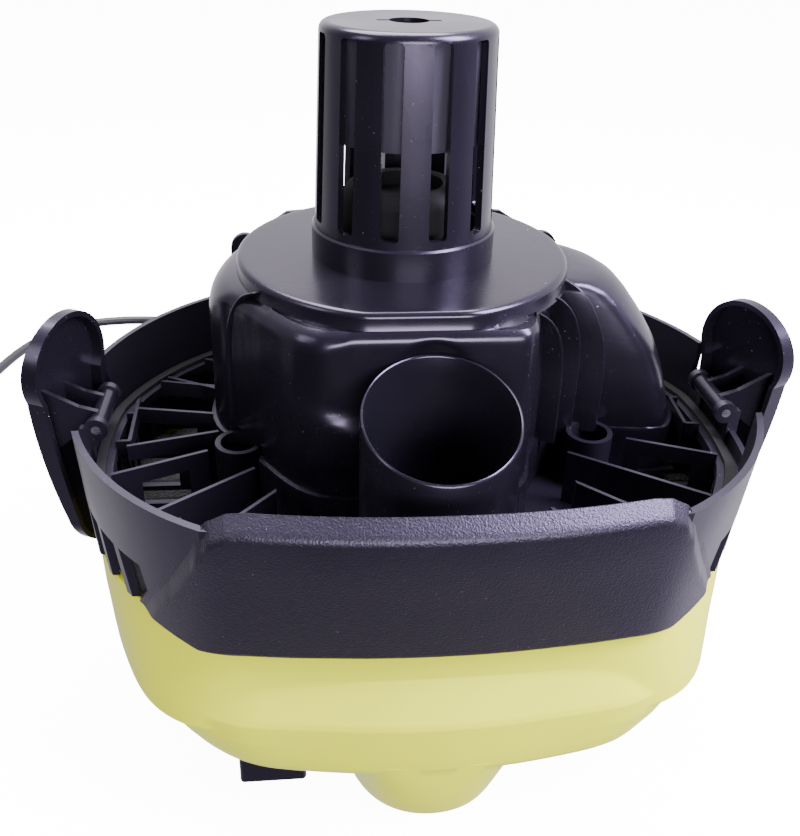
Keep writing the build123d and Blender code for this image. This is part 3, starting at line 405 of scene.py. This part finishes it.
def arc_points(start, middle, end, count):
    (x1, y1), (x2, y2), (x3, y3) = start, middle, end
    d = 2 * (x1 * (y2 - y3) + x2 * (y3 - y1) + x3 * (y1 - y2))
    s1, s2, s3 = x1 * x1 + y1 * y1, x2 * x2 + y2 * y2, x3 * x3 + y3 * y3
    cx = (s1 * (y2 - y3) + s2 * (y3 - y1) + s3 * (y1 - y2)) / d
    cy = (s1 * (x3 - x2) + s2 * (x1 - x3) + s3 * (x2 - x1)) / d
    first = math.atan2(y1 - cy, x1 - cx)
    last = math.atan2(y3 - cy, x3 - cx)
    turn = (last - first + math.pi) % (2 * math.pi) - math.pi
    angles = first + turn * np.linspace(0, 1, count, endpoint=False)
    radius = math.hypot(x1 - cx, y1 - cy)
    return np.stack([cx + radius * np.cos(angles), cy + radius * np.sin(angles)], 1)


def evenly(points, count):
    closed = np.vstack([points, points[:1]])
    along = np.concatenate([[0], np.cumsum(np.linalg.norm(np.diff(closed, axis=0), axis=1))])
    at = np.linspace(0, along[-1], count, endpoint=False)
    return np.stack([np.interp(at, along, closed[:, k]) for k in range(2)], 1), along[-1]


def blurred(values, sigma):
    """Circular Gaussian blur of the rows, sigma in samples."""
    reach = int(4 * sigma) + 1
    weights = np.exp(-0.5 * (np.arange(-reach, reach + 1) / sigma) ** 2)
    weights /= weights.sum()
    out = np.zeros_like(values)
    for shift, weight in zip(range(-reach, reach + 1), weights):
        out += weight * np.roll(values, shift, axis=0)
    return out


def head_outline():
    raw = np.vstack([arc_points(*arc, 60) for arc in PLAN_ARCS])
    points, length = evenly(raw, PLAN_COUNT)
    return blurred(points, CORNER_SOFTNESS / (length / PLAN_COUNT))


OUTLINE = head_outline()


def grown(dx, dy):
    """The head's outline, grown at the sides by dx and at the front and rear by dy."""
    return OUTLINE * ((HALF_W + dx) / HALF_W, (HALF_D + dy) / HALF_D)


def plan(dx, dy, z):
    return np.column_stack([grown(dx, dy), np.full(len(OUTLINE), z)])


def radius_at(angles, xy):
    """Radius of a closed loop round the frame's axis, at the given angles."""
    at = np.arctan2(xy[:, 1], xy[:, 0])
    order = np.argsort(at)
    return np.interp(angles, at[order], np.hypot(xy[:, 0], xy[:, 1])[order], period=2 * math.pi)


def loop_at(angles, radius, z):
    return np.column_stack([radius * np.cos(angles), radius * np.sin(angles), np.full(len(angles), z)])


def evenly_polar(loop, angles):
    """The same loop with its points at the given angles."""
    return loop_at(angles, radius_at(angles, loop), loop[0][2])


# ---- yellow cover -------------------------------------------------------------------------
# Two bodies that run into each other: height, growth at the sides, growth at front and rear, corner push
WALL_FOOT_Z = 49.9
COVER_WALL = [
    (98.0, -3.0, -10.9, 0.0), (97.2, -2.6, -10.5, 0.0), (80.0, -3.0, -10.8, 3.5), (60.0, -4.2, -11.0, 7.5),
    (52.2, -4.8, -11.2, 8.8), (51.0, -5.3, -11.6, 8.4), (50.2, -6.5, -12.8, 7.2), (50.0, -7.9, -14.2, 6.0),
    (WALL_FOOT_Z, -24.0, -30.0, 0.0),
]
COVER_TIER = [
    (98.0, -40.0, -24.0, 0.0), (86.0, -26.0, -13.0, 0.0), (81.0, -20.0, -11.0, 1.0),
    (79.5, -19.0, -10.4, 2.0), (61.5, -17.0, -4.8, 6.0), (59.0, -17.0, -4.4, 7.0), (57.0, -17.0, -4.5, 7.2),
    (49.0, -17.2, -4.9, 7.0), (40.0, -19.0, -5.4, 5.0), (34.0, -21.0, -6.0, 3.2), (31.6, -22.6, -7.2, 2.2),
    (30.3, -24.6, -9.2, 1.0), (30.0, -27.0, -11.6, 0.0),
]
COVER_FLOOR_Z = 30.0
COVER_FLOOR = [(-44.0, -26.0), (-80.0, -60.0), (-125.0, -102.0)]
WALL = 2.5
SOCKET_WALL_R = 30.2
SOCKET_SOFTNESS = 2.5
POCKET_WALLS = ((-54.5, 27.5, 30.5), (54.5, 74.5, 46.5))
POCKET_ROOM = ((-52, 30, 20), (52, 72, 44))
POCKET_ROUND = 5.0
PUSH_AT, PUSH_SPREAD = math.radians(41.0), math.radians(14.0)
COVER_ANGLES = 540


def polar(dx, dy, push, angles):
    """Radius of the head's outline about the frame's axis, pushed out at the two front corners."""
    off = np.abs(np.abs(angles + math.pi / 2) - (math.pi / 2 - PUSH_AT))
    return radius_at(angles, grown(dx, dy)) + push * np.exp(-(off / PUSH_SPREAD) ** 2)


def cover_ring(z, inset, angles):
    def body(levels):
        heights = [level[0] for level in levels][::-1]
        values = [np.interp(z, heights, [level[k] for level in levels][::-1]) for k in (1, 2, 3)]
        return polar(*values, angles)

    radius = np.maximum(body(COVER_WALL) if z > WALL_FOOT_Z else 0.0, body(COVER_TIER)) - inset
    return loop_at(angles, blurred(radius[:, None], 0.7)[:, 0], z)


def cone_mesh():
    """Hose socket: a cone that runs out flush with the cover's front."""
    rings = []
    profile = [(36.0, 45.9), (30.0, 43.6), (24.0, 41.3), (12.0, 37.2), (4.0, 34.4), (1.2, 33.2), (0.2, 32.4),
               (0.0, 31.6), (0.0, SOCKET_WALL_R), (36.0, SOCKET_WALL_R)]
    for z, radius in profile:
        front = -HALF_D + 6.2 + 0.05 * (30.0 - z)
        ring = []
        for t in np.linspace(0, 2 * math.pi, 128, endpoint=False):
            x, y = radius * math.cos(t), PIPE_Y + radius * math.sin(t)
            over = (front - y) / SOCKET_SOFTNESS
            y = y + SOCKET_SOFTNESS * math.log1p(math.exp(min(over, 30.0)))
            ring.append((x, y, z))
        rings.append(ring)
    return loops_mesh("cone", rings, ring=True)


def make_cover():
    angles = np.linspace(-math.pi, math.pi, COVER_ANGLES, endpoint=False)
    heights = {level[0] for level in COVER_WALL + COVER_TIER}
    heights = sorted(heights.union(np.arange(34.0, 97.0, 1.5)))
    outer = [evenly_polar(plan(dx, dy, COVER_FLOOR_Z), angles) for dx, dy in COVER_FLOOR[::-1]]
    outer += [cover_ring(z, 0.0, angles) for z in heights]
    inner = [cover_ring(z, WALL, angles) for z in reversed(heights) if z > 33.5]
    for dx, dy in [COVER_TIER[-1][1:3]] + COVER_FLOOR:
        inner.append(evenly_polar(plan(dx - WALL, dy - WALL, COVER_FLOOR_Z + WALL), angles))
    mesh = loops_mesh("cover_shell", outer + inner)
    mesh = combine(mesh, cone_mesh(), "UNION")
    mesh = combine(mesh, cylinder_mesh(0, PIPE_Y, 20, 60, SOCKET_WALL_R + 0.4), "DIFFERENCE")
    mesh = combine(mesh, box_mesh(*POCKET_WALLS), "UNION")
    mesh = combine(mesh, box_mesh(*POCKET_ROOM, POCKET_ROUND), "DIFFERENCE")
    mesh.name = "cover_shell"
    smooth(mesh, 38.0)
    mesh.materials.clear()
    cover = add_object("cover_shell", mesh, "yellow_plastic")
    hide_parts("top_cover")


make_cover()

# ---- front panel --------------------------------------------------------------------------
PANEL_OUT = 3.4
PANEL_HALF_W = 115.4
# Upper and lower edge, as distance from the middle and height
PANEL_EDGE = [(0, 164.0), (70, 163.6), (77, 162.4), (84, 158.0), (89, 151.5), (101, 127), (109, 112.5),
              (115.5, 99.5)]
PANEL_FOOT = [(0, 96.5), (40, 96.2), (72, 95.0), (84, 93.6), (91.5, 92.4), (103, 95.9), (115.5, 99.4)]
PANEL_CHAMFER = 5.4
PANEL_EDGE_OUT = -2.4
PANEL_COLUMNS = 260
PANEL_ROWS = 44


def skirt_front(x, z, out):
    """Y of the skirt's front at x and height z, moved outwards."""
    part = max(RIM_Z - z, 0.0) / (RIM_Z - SEAM_Z)
    dx, dy = SEAM_DX * part + out, SEAM_DY * part + out
    xy = grown(dx, dy)
    front = xy[xy[:, 1] < -20]
    front = front[np.argsort(front[:, 0])]
    return np.interp(x, front[:, 0], front[:, 1])


def make_front_panel():
    heights = np.linspace(86, 166, 81)
    xs = np.linspace(-120, 120, 241)
    skirt = np.array([[skirt_front(x, z, 0.0) for x in xs] for z in heights])

    def surface(x, z, out):
        row = np.array([np.interp(x, xs, line) for line in skirt])
        return float(np.interp(z, heights, row)) - out

    columns = np.linspace(-1, 1, PANEL_COLUMNS)
    columns = PANEL_HALF_W * np.sign(columns) * np.abs(columns) ** 0.96
    front, back = [], []
    edge_x, edge_z = zip(*PANEL_EDGE)
    foot_x, foot_z = zip(*PANEL_FOOT)
    share = np.linspace(0, 1, PANEL_ROWS)
    share = share * share * (3 - 2 * share)
    for x in columns:
        top = np.interp(abs(x), edge_x, edge_z)
        low = min(np.interp(abs(x), foot_x, foot_z), top - 0.3)
        slope = (np.interp(abs(x) + 1, edge_x, edge_z) - np.interp(abs(x) - 1, edge_x, edge_z)) / 2
        lean = math.cos(math.atan(slope))
        for part in share:
            z = low + (top - low) * part
            edge = (top - z) * lean
            foot = z - low
            rise = PANEL_CHAMFER - math.log1p(math.exp((PANEL_CHAMFER - edge) * 3.0)) / 3.0
            lip = min(foot / 1.2, 1.0) ** 0.5
            crown = 0.7 * math.exp(-((z - 148) / 16) ** 2) * (1 - (abs(x) / 116) ** 4)
            out = PANEL_EDGE_OUT + (PANEL_OUT + 0.7 - PANEL_EDGE_OUT) * max(rise, 0.0) / PANEL_CHAMFER
            out += crown
            front.append((x, surface(x, z, 0.8 + (out - 0.8) * (0.5 + 0.5 * lip)), z))
            back.append((x, surface(x, z, 0.3 if z < RIM_Z else -2.0), z))
    rows, cols = PANEL_ROWS, PANEL_COLUMNS
    size = rows * cols
    faces = []
    for c in range(cols - 1):
        for r in range(rows - 1):
            a, b = c * rows + r, (c + 1) * rows + r
            faces.append((a, b, b + 1, a + 1))
            faces.append((size + a, size + a + 1, size + b + 1, size + b))
    rim = [c * rows for c in range(cols)] + [(cols - 1) * rows + r for r in range(1, rows)]
    rim += [c * rows + rows - 1 for c in range(cols - 2, -1, -1)] + [r for r in range(rows - 2, 0, -1)]
    for a, b in zip(rim, rim[1:] + rim[:1]):
        faces.append((a, size + a, size + b, b))
    mesh = mesh_from("front_trim", front + back, faces, 40.0)
    panel = add_object("front_trim", mesh, "black_grained")
    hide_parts("front_panel")


make_front_panel()

# ---- motor dome ---------------------------------------------------------------------------
DOME_R = 86.3
DOME_FOOT_Z, SHOULDER_Z, DISC_Z = 104.5, 198.0, 205.2
DISC_R, DISC_FLAT = 72.4, 69.3
DOME_SHOULDER = 16.0
DOME_ANGLES = 1080
BOX_FRONT_Y, BOX_FRONT_ROUND = -49.8, 5.5
# The wall between the box front's right corner and the bulge, set back so that the fins stand out of it
RECESS = [(31.0, -49.8), (38.0, -48.2), (42.0, -43.0), (44.5, -34.0), (46.0, -26.0), (49.5, -18.0),
          (55.0, -9.5), (63.0, -1.5), (70.0, 4.0)]
# The wall on the other side, which draws in to the left fin and runs round to the box front
LEFT_WALL = [(-34.0, -49.8), (-44.0, -48.4), (-52.0, -44.0), (-58.5, -37.0), (-64.0, -29.0),
             (-70.0, -19.5), (-75.5, -11.0), (-79.0, -5.8), (-80.6, -3.4), (-84.5, 1.0), (-88.4, 8.0),
             (-91.0, 17.0), (-91.6, 24.0)]
# The sloping crease across the left of the box front; below it the wall stands further out
CREASE_FROM, CREASE_SLOPE, CREASE_OUT = (-62.0, 170.5), 0.347, 2.4
# Round channels in the dome's foot beside the two front screw bosses: centre and radius
CHANNELS = [(-78.8, -12.5, 12.3), (78.8, -12.5, 11.4)]
CHANNEL_TOP = 133.0
# The rounded bulge on the right, level by level: height, centre and radius
BULGE = [(104.0, 87.0, 20.0, 39.0), (128.0, 86.0, 20.5, 39.6), (150.0, 81.0, 21.2, 38.2),
         (164.0, 76.5, 22.6, 37.0), (176.0, 71.0, 24.6, 35.0), (186.0, 64.0, 26.0, 34.4),
         (192.0, 59.5, 26.8, 33.2), (196.0, 55.0, 27.6, 30.8), (197.6, 50.5, 28.4, 28.4),
         (198.0, 46.0, 29.0, 26.0)]
PIPE_CHANNEL = 31.2
FAR_AWAY = 1e3
FOOT_LIP_Z, FOOT_LIP_OUT, FOOT_LIP_BEND = 127.0, 2.3, 1.9
DISC_EDGE = 2.6
DISC_HUB_R = 20.0


def circle_hit(cx, cy, radius, ux, uy, side, missed):
    """Distance along rays from the dome's axis to the near (-1) or far (+1) side of a circle."""
    dx, dy = cx - AX, cy - AY
    along = dx * ux + dy * uy
    inside = radius ** 2 - (dx * dx + dy * dy - along * along)
    return np.where((inside > 0) & (along > 0), along + side * np.sqrt(np.maximum(inside, 0)), missed)


def near_hit(cx, cy, radius, ux, uy):
    return circle_hit(cx, cy, radius, ux, uy, -1, FAR_AWAY)


def rounding(z, top, radius):
    """How far a wall has drawn in at height z, for a quarter round that ends at the top."""
    up = max(z - (top - radius), 0.0)
    return radius - math.sqrt(max(radius ** 2 - up ** 2, 0.0))


def step(value):
    value = np.clip(value, 0.0, 1.0)
    return value * value * (3 - 2 * value)


def dome_radii(z, angles):
    ux, uy = np.cos(angles), np.sin(angles)
    draft = 0.012 * (z - DOME_FOOT_Z)
    radius = np.full(len(angles), DOME_R - draft - rounding(z, SHOULDER_Z, DOME_SHOULDER) * 0.92)
    drawn = rounding(z, SHOULDER_Z + 1.0, BOX_FRONT_ROUND)
    front = AY - BOX_FRONT_Y - drawn - 0.02 * (z - 150)
    radius = np.where(uy < -0.62, 96.0, radius)
    radius = np.minimum(radius, np.where(uy < -0.05, front / np.maximum(-uy, 0.05), FAR_AWAY))
    back = 92.0 - AY - rounding(z, SHOULDER_Z, DOME_SHOULDER)
    radius = np.minimum(radius, np.where(uy > 0, back / np.maximum(uy, 1e-6), FAR_AWAY))
    for wall in (RECESS, LEFT_WALL[::-1]):
        at = [math.atan2(y - AY, x - AX) % (2 * math.pi) for x, y in wall]
        reach = np.interp(angles, at, [math.hypot(x - AX, y - AY) for x, y in wall])
        inside = (angles > at[0]) & (angles < at[-1])
        drop = drawn if wall is RECESS else rounding(z, SHOULDER_Z + 1.0, 9.0)
        radius = np.where(inside, np.minimum(radius, reach - drop), radius)
    x, level = AX + radius * ux, CREASE_FROM[1]
    level = level - CREASE_SLOPE * (x - CREASE_FROM[0])
    fold = step((x - CREASE_FROM[0]) / 30.0) * step((level - z) / 6.0 + 0.5) * (x < 0) * (uy < -0.5)
    radius = radius + CREASE_OUT * fold
    radius = np.minimum(radius, near_hit(0.0, PIPE_Y, PIPE_CHANNEL - max(z - 184, 0) * 0.35, ux, uy))
    heights = [level[0] for level in BULGE]
    cx, cy, r = (np.interp(z, heights, [level[k] for level in BULGE]) for k in (1, 2, 3))
    bulge = circle_hit(cx, cy, r, ux, uy, 1, 0.0)
    bulge = bulge * (angles_about_zero(angles) > math.radians(-16.0))
    radius = np.maximum(radius, bulge)
    if z < CHANNEL_TOP:
        for cx, cy, r in CHANNELS:
            radius = np.minimum(radius, near_hit(cx, cy, r, ux, uy))
    return radius


def angles_about_zero(angles):
    return (angles + math.pi) % (2 * math.pi) - math.pi


def disc_radii(angles):
    """The disc is round, with a flat at the front."""
    uy = np.sin(angles)
    flat = np.where(uy < 0, DISC_FLAT / np.maximum(-uy, 1e-6), FAR_AWAY)
    return np.minimum(np.full(len(angles), DISC_R), flat)


def dome_ring(radii, z, angles):
    return [(AX + r * math.cos(t), AY + r * math.sin(t), z) for r, t in zip(radii, angles)]


def make_dome():
    angles = np.linspace(0, 2 * math.pi, DOME_ANGLES, endpoint=False)
    soft = 1.2 / (2 * math.pi * DOME_R / DOME_ANGLES)
    heights = {DOME_FOOT_Z, 112.0, 120.0, CHANNEL_TOP - 0.1, CHANNEL_TOP + 0.1}
    heights.update(FOOT_LIP_Z + up for up in (-1.6, -0.3, 0.0, 0.4))
    heights.update(np.linspace(FOOT_LIP_Z + 2, 178, 18))
    heights.update(SHOULDER_Z - DOME_SHOULDER * math.cos(t) for t in np.linspace(0.25, math.pi / 2, 16))
    rings, inner = [], []
    for z in sorted(heights):
        radii = blurred(dome_radii(z, angles)[:, None], soft * 1.6)[:, 0]
        lip = FOOT_LIP_OUT if z < FOOT_LIP_Z - 1 else (FOOT_LIP_BEND if z < FOOT_LIP_Z else 0.0)
        rings.append(dome_ring(radii + lip, z, angles))
        inner.append(dome_ring(radii - WALL, min(z, SHOULDER_Z - WALL), angles))
    last = blurred(dome_radii(SHOULDER_Z, angles)[:, None], soft * 1.6)[:, 0]
    disc = blurred(disc_radii(angles)[:, None], soft * 3)[:, 0]
    rings.append(dome_ring(np.minimum(last, disc + 2.2), SHOULDER_Z - 0.7, angles))
    rings.append(dome_ring(disc + 0.5, SHOULDER_Z - 1.1, angles))
    rings.append(dome_ring(disc, SHOULDER_Z - 0.4, angles))
    for t in np.linspace(0, math.pi / 2, 8):
        drawn = DISC_EDGE * (1 - math.cos(t))
        rings.append(dome_ring(disc - drawn, DISC_Z - DISC_EDGE + DISC_EDGE * math.sin(t), angles))
    for share in (0.93, 0.86, 0.7, 0.5):
        rings.append(dome_ring(disc * share, DISC_Z + 0.01, angles))
    rings.append(dome_ring(np.full(len(angles), DISC_HUB_R), DISC_Z, angles))
    rings.append(dome_ring(np.full(len(angles), DISC_HUB_R), DISC_Z - WALL, angles))
    rings.append(dome_ring(disc - WALL - 1.5, DISC_Z - WALL, angles))
    mesh = loops_mesh("fan_dome", rings + inner[::-1], ring=True, sharp=48.0)
    dome = add_object("fan_dome", mesh, "black_gloss")
    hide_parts("motor_dome")


make_dome()

# Fins stand off the dome's wall. These are points of their outer edges, from foot to top.
FINS = {
    "fin_left": [(-83.2, -2.6, 131), (-83.0, -2.8, 168), (-80.5, -5.6, 186),
                 (-75.5, -10.5, 197), (-69.5, -15.5, 201.5)],
    "fin_corner": [(62.5, -15.0, 126), (62.0, -15.0, 164), (56.5, -21.0, 184),
                   (46.0, -28.5, 196), (32.0, -35.0, 201.5)],
    "fin_channel": [(71.7, -7.5, 126), (71.7, -7.5, 164), (67.0, -11.5, 184),
                    (58.5, -15.5, 196), (47.6, -19.2, 201.5)],
    "fin_bulge": [(84.0, -6.5, 126), (83.6, -6.5, 162), (78.0, -7.0, 182),
                  (70.0, -5.5, 195.5), (60.2, -2.5, 201.5)],
}
FIN_T = 1.7
FIN_DEPTH = 15.0


def smooth_line(points, count):
    """Points spread along a Catmull-Rom curve through the given ones."""
    pts = np.array([points[0]] + list(points) + [points[-1]], float)
    out = []
    for k in range(1, len(pts) - 2):
        p0, p1, p2, p3 = pts[k - 1:k + 3]
        for t in np.linspace(0, 1, count, endpoint=False):
            out.append(0.5 * (2 * p1 + (p2 - p0) * t + (2 * p0 - 5 * p1 + 4 * p2 - p3) * t ** 2
                              + (3 * p1 - p0 - 3 * p2 + p3) * t ** 3))
    out.append(pts[-2])
    return out


def make_fin(name, edge):
    """Plate between an outer edge line and the dome's inside, with a rounded outer edge."""
    points, faces = [], []
    line = smooth_line(edge, 8)
    section = [(-0.5, -FIN_DEPTH), (-0.5, -0.5), (-0.32, -0.12), (0.0, 0.0), (0.32, -0.12), (0.5, -0.5),
               (0.5, -FIN_DEPTH)]
    for p in line:
        out = Vector((p[0] - AX, p[1] - AY, 0)).normalized()
        side = Vector((-out.y, out.x, 0))
        for across, depth in section:
            q = Vector(p) + side * (across * FIN_T) + out * depth
            points.append(tuple(q))
    n = len(section)
    for k in range(len(line) - 1):
        for i in range(n):
            j = (i + 1) % n
            faces.append((k * n + i, k * n + j, (k + 1) * n + j, (k + 1) * n + i))
    faces.append(tuple(range(n)))
    faces.append(tuple((len(line) - 1) * n + i for i in reversed(range(n))))
    add_object(name, mesh_from(name, points, faces, 50.0), "black_gloss")


for fin_name, fin_edge in FINS.items():
    make_fin(fin_name, fin_edge)

# ---- suction pipe -------------------------------------------------------------------------
PIPE_MID_Z, PIPE_CUT = 178.0, math.radians(19.0)
SOCKET_LEN = 38.0


def make_pipe():
    """Tube whose upper end is cut on a slant and drawn out to a thin rounded lip."""
    below_mouth = [(30.0, 40.0), (30.0, 6.0), (29.95, 0.9), (29.7, 0.25), (29.3, 0.0), (28.95, 0.2),
                   (28.8, 0.8), (28.4, 8.0), (27.6, 26.0), (27.2, 40.0)]
    profile = [(28.0, "from_floor", 0.4), (28.4, "from_floor", 0.0), (30.0, "from_floor", 0.0)]
    profile += [(radius, "mouth", depth) for radius, depth in below_mouth]
    profile += [(27.2, "from_floor", SOCKET_LEN), (28.0, "from_floor", SOCKET_LEN)]
    rings = []
    for radius, kind, value in profile:
        ring = []
        for t in np.linspace(0, 2 * math.pi, 128, endpoint=False):
            x, y = radius * math.cos(t), radius * math.sin(t)
            z = value if kind == "from_floor" else PIPE_MID_Z + math.tan(PIPE_CUT) * y - value
            ring.append((x, PIPE_Y + y, z))
        rings.append(ring)
    pipe = add_object("suction_tube", loops_mesh("suction_tube", rings, ring=True), "black_gloss")
    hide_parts("suction_pipe")


make_pipe()

# ---- foam under the deck, and painted shade behind the slots ------------------------------
MAT_LEVELS = (86.0, 96.5)
# What the mat is cut out round: the fan, the pipe and the two front bosses
MAT_HOLES = ((AX, AY, 66.0), (0.0, PIPE_Y, 33.0), (-78.8, -12.5, 12.5), (78.8, -12.5, 12.5))
BAND_LOW_Z, BAND_HIGH_Z, BAND_T = 99.0, 124.0, 3.0


def make_foam():
    """Exhaust foam: a mat under the deck, and a near-black band with the foam look behind the slots, which
    is painted shade for the shaded inside of the head.
    """
    angles = np.linspace(-math.pi, math.pi, 240, endpoint=False)
    edge = plan(-9.0, -19.0, 0.0)
    mesh = loops_mesh("exhaust_mat", [evenly_polar(edge + (0, 0, z), angles) for z in MAT_LEVELS])
    for x, y, radius in MAT_HOLES:
        mesh = combine(mesh, cylinder_mesh(x, y, 80.0, 100.0, radius), "DIFFERENCE")
    mesh.name = "exhaust_mat"
    mesh.materials.clear()
    add_object("exhaust_mat", mesh, "foam")
    # Painted shade: a near-black band just inside the skirt, behind the slots, so that they show dark as the
    # shaded inside of the head does.
    low, high = (-5.0, -12.1), (-4.1, -8.1)
    loops = [plan(*low, BAND_LOW_Z), plan(*high, BAND_HIGH_Z),
             plan(*(grow - BAND_T for grow in high), BAND_HIGH_Z),
             plan(*(grow - BAND_T for grow in low), BAND_LOW_Z)]
    add_object("slot_shade_band", loops_mesh("slot_shade_band", loops, ring=True), "foam")


make_foam()

# ---- CAD nodes that stay: materials and softened edges ------------------------------------
for item in frame["record"]["subparts"]:
    node = NODES[item["node"]]
    node.data.materials.clear()
    node.data.materials.append(MATERIALS[item["material_slot"]])

for name, look in (("float_valve", "rubber"), ("cage_sleeve", "sleeve")):
    NODES[name].data.materials[0] = MATERIALS[look]

EDGE_ROUND = {
    "lower_housing": 0.35, "filter_cage": 0.45, "cage_collar": 0.5, "rear_panel": 0.8,
    "latch_left": 0.7, "latch_right": 0.7, "switch_frame": 0.6, "switch_rocker": 0.6, "carry_handle": 0.8,
    "plug_body": 0.8, "cage_sleeve": 0.3,
}
for name, width in EDGE_ROUND.items():
    bevel = NODES[name].modifiers.new("edge_round", "BEVEL")
    bevel.width = width * MM
    bevel.segments = 2
    bevel.limit_method = "ANGLE"
    bevel.angle_limit = math.radians(38)
    bevel.use_clamp_overlap = True

# ---- floor, world and lights --------------------------------------------------------------
def make_stage():
    material, nodes, links, shader = new_material("floor_look")
    shade = noise_node(nodes, links, 3.0, 2.0)
    colour = mix_colour(nodes, links, shade, (0.93, 0.93, 0.935), (0.96, 0.96, 0.965))
    links.new(colour, shader.inputs["Base Color"])
    shader.inputs["Roughness"].default_value = 0.7
    shader.inputs["Emission Color"].default_value = (1.0, 1.0, 1.0, 1.0)
    shader.inputs["Emission Strength"].default_value = 12.0
    mesh = bpy.data.meshes.new("floor")
    work = bmesh.new()
    bmesh.ops.create_grid(work, x_segments=8, y_segments=8, size=4.0)
    work.to_mesh(mesh)
    work.free()
    floor = bpy.data.objects.new("floor", mesh)
    mesh.materials.append(material)
    bpy.context.scene.collection.objects.link(floor)
    floor.visible_glossy = False
    floor.visible_diffuse = False


def make_world():
    """Bright behind and above the object, dark on the near side, as in a light tent with an open front."""
    world = bpy.data.worlds.new("studio")
    bpy.context.scene.world = world
    world.use_nodes = True
    nodes, links = world.node_tree.nodes, world.node_tree.links
    background = nodes["Background"]
    place = nodes.new("ShaderNodeTexCoord")
    split = nodes.new("ShaderNodeSeparateXYZ")
    links.new(place.outputs["Generated"], split.inputs["Vector"])
    strength = nodes.new("ShaderNodeMath")
    strength.operation = "MULTIPLY"
    links.new(ramp(nodes, links, split.outputs["Y"], -0.5, 0.3, 0.2, 1.8), strength.inputs[0])
    links.new(ramp(nodes, links, split.outputs["X"], -0.9, -0.25, 0.3, 1.0), strength.inputs[1])
    links.new(strength.outputs["Value"], background.inputs["Strength"])
    depth = ramp(nodes, links, split.outputs["Y"], -0.3, 0.6)
    colour = mix_colour(nodes, links, depth, (0.78, 0.70, 1.0), (0.97, 0.93, 1.0))
    links.new(colour, background.inputs["Color"])


def area_light(name, place, target, size, power, colour):
    data = bpy.data.lights.new(name, "AREA")
    data.shape = "RECTANGLE"
    data.size, data.size_y = size
    data.energy = power
    data.color = colour
    light = bpy.data.objects.new(name, data)
    light.location = place
    light.rotation_euler = (Vector(target) - Vector(place)).to_track_quat("-Z", "Y").to_euler()
    bpy.context.scene.collection.objects.link(light)


make_stage()
make_world()
area_light("key", (0.75, -0.35, 0.95), (0, 0, 0.15), (0.5, 0.7), 60.0, (0.84, 0.78, 1.0))
area_light("top", (-0.15, 0.50, 1.4), (0, 0, 0.1), (1.2, 0.8), 60.0, (1.0, 0.98, 1.0))
area_light("left", (-1.1, -0.45, 0.8), (0, 0, 0.12), (0.4, 0.6), 5.0, (1.0, 0.95, 1.0))
area_light("front", (0.15, -1.5, 0.45), (0, 0, 0.06), (1.0, 0.5), 34.0, (1.0, 0.98, 1.0))
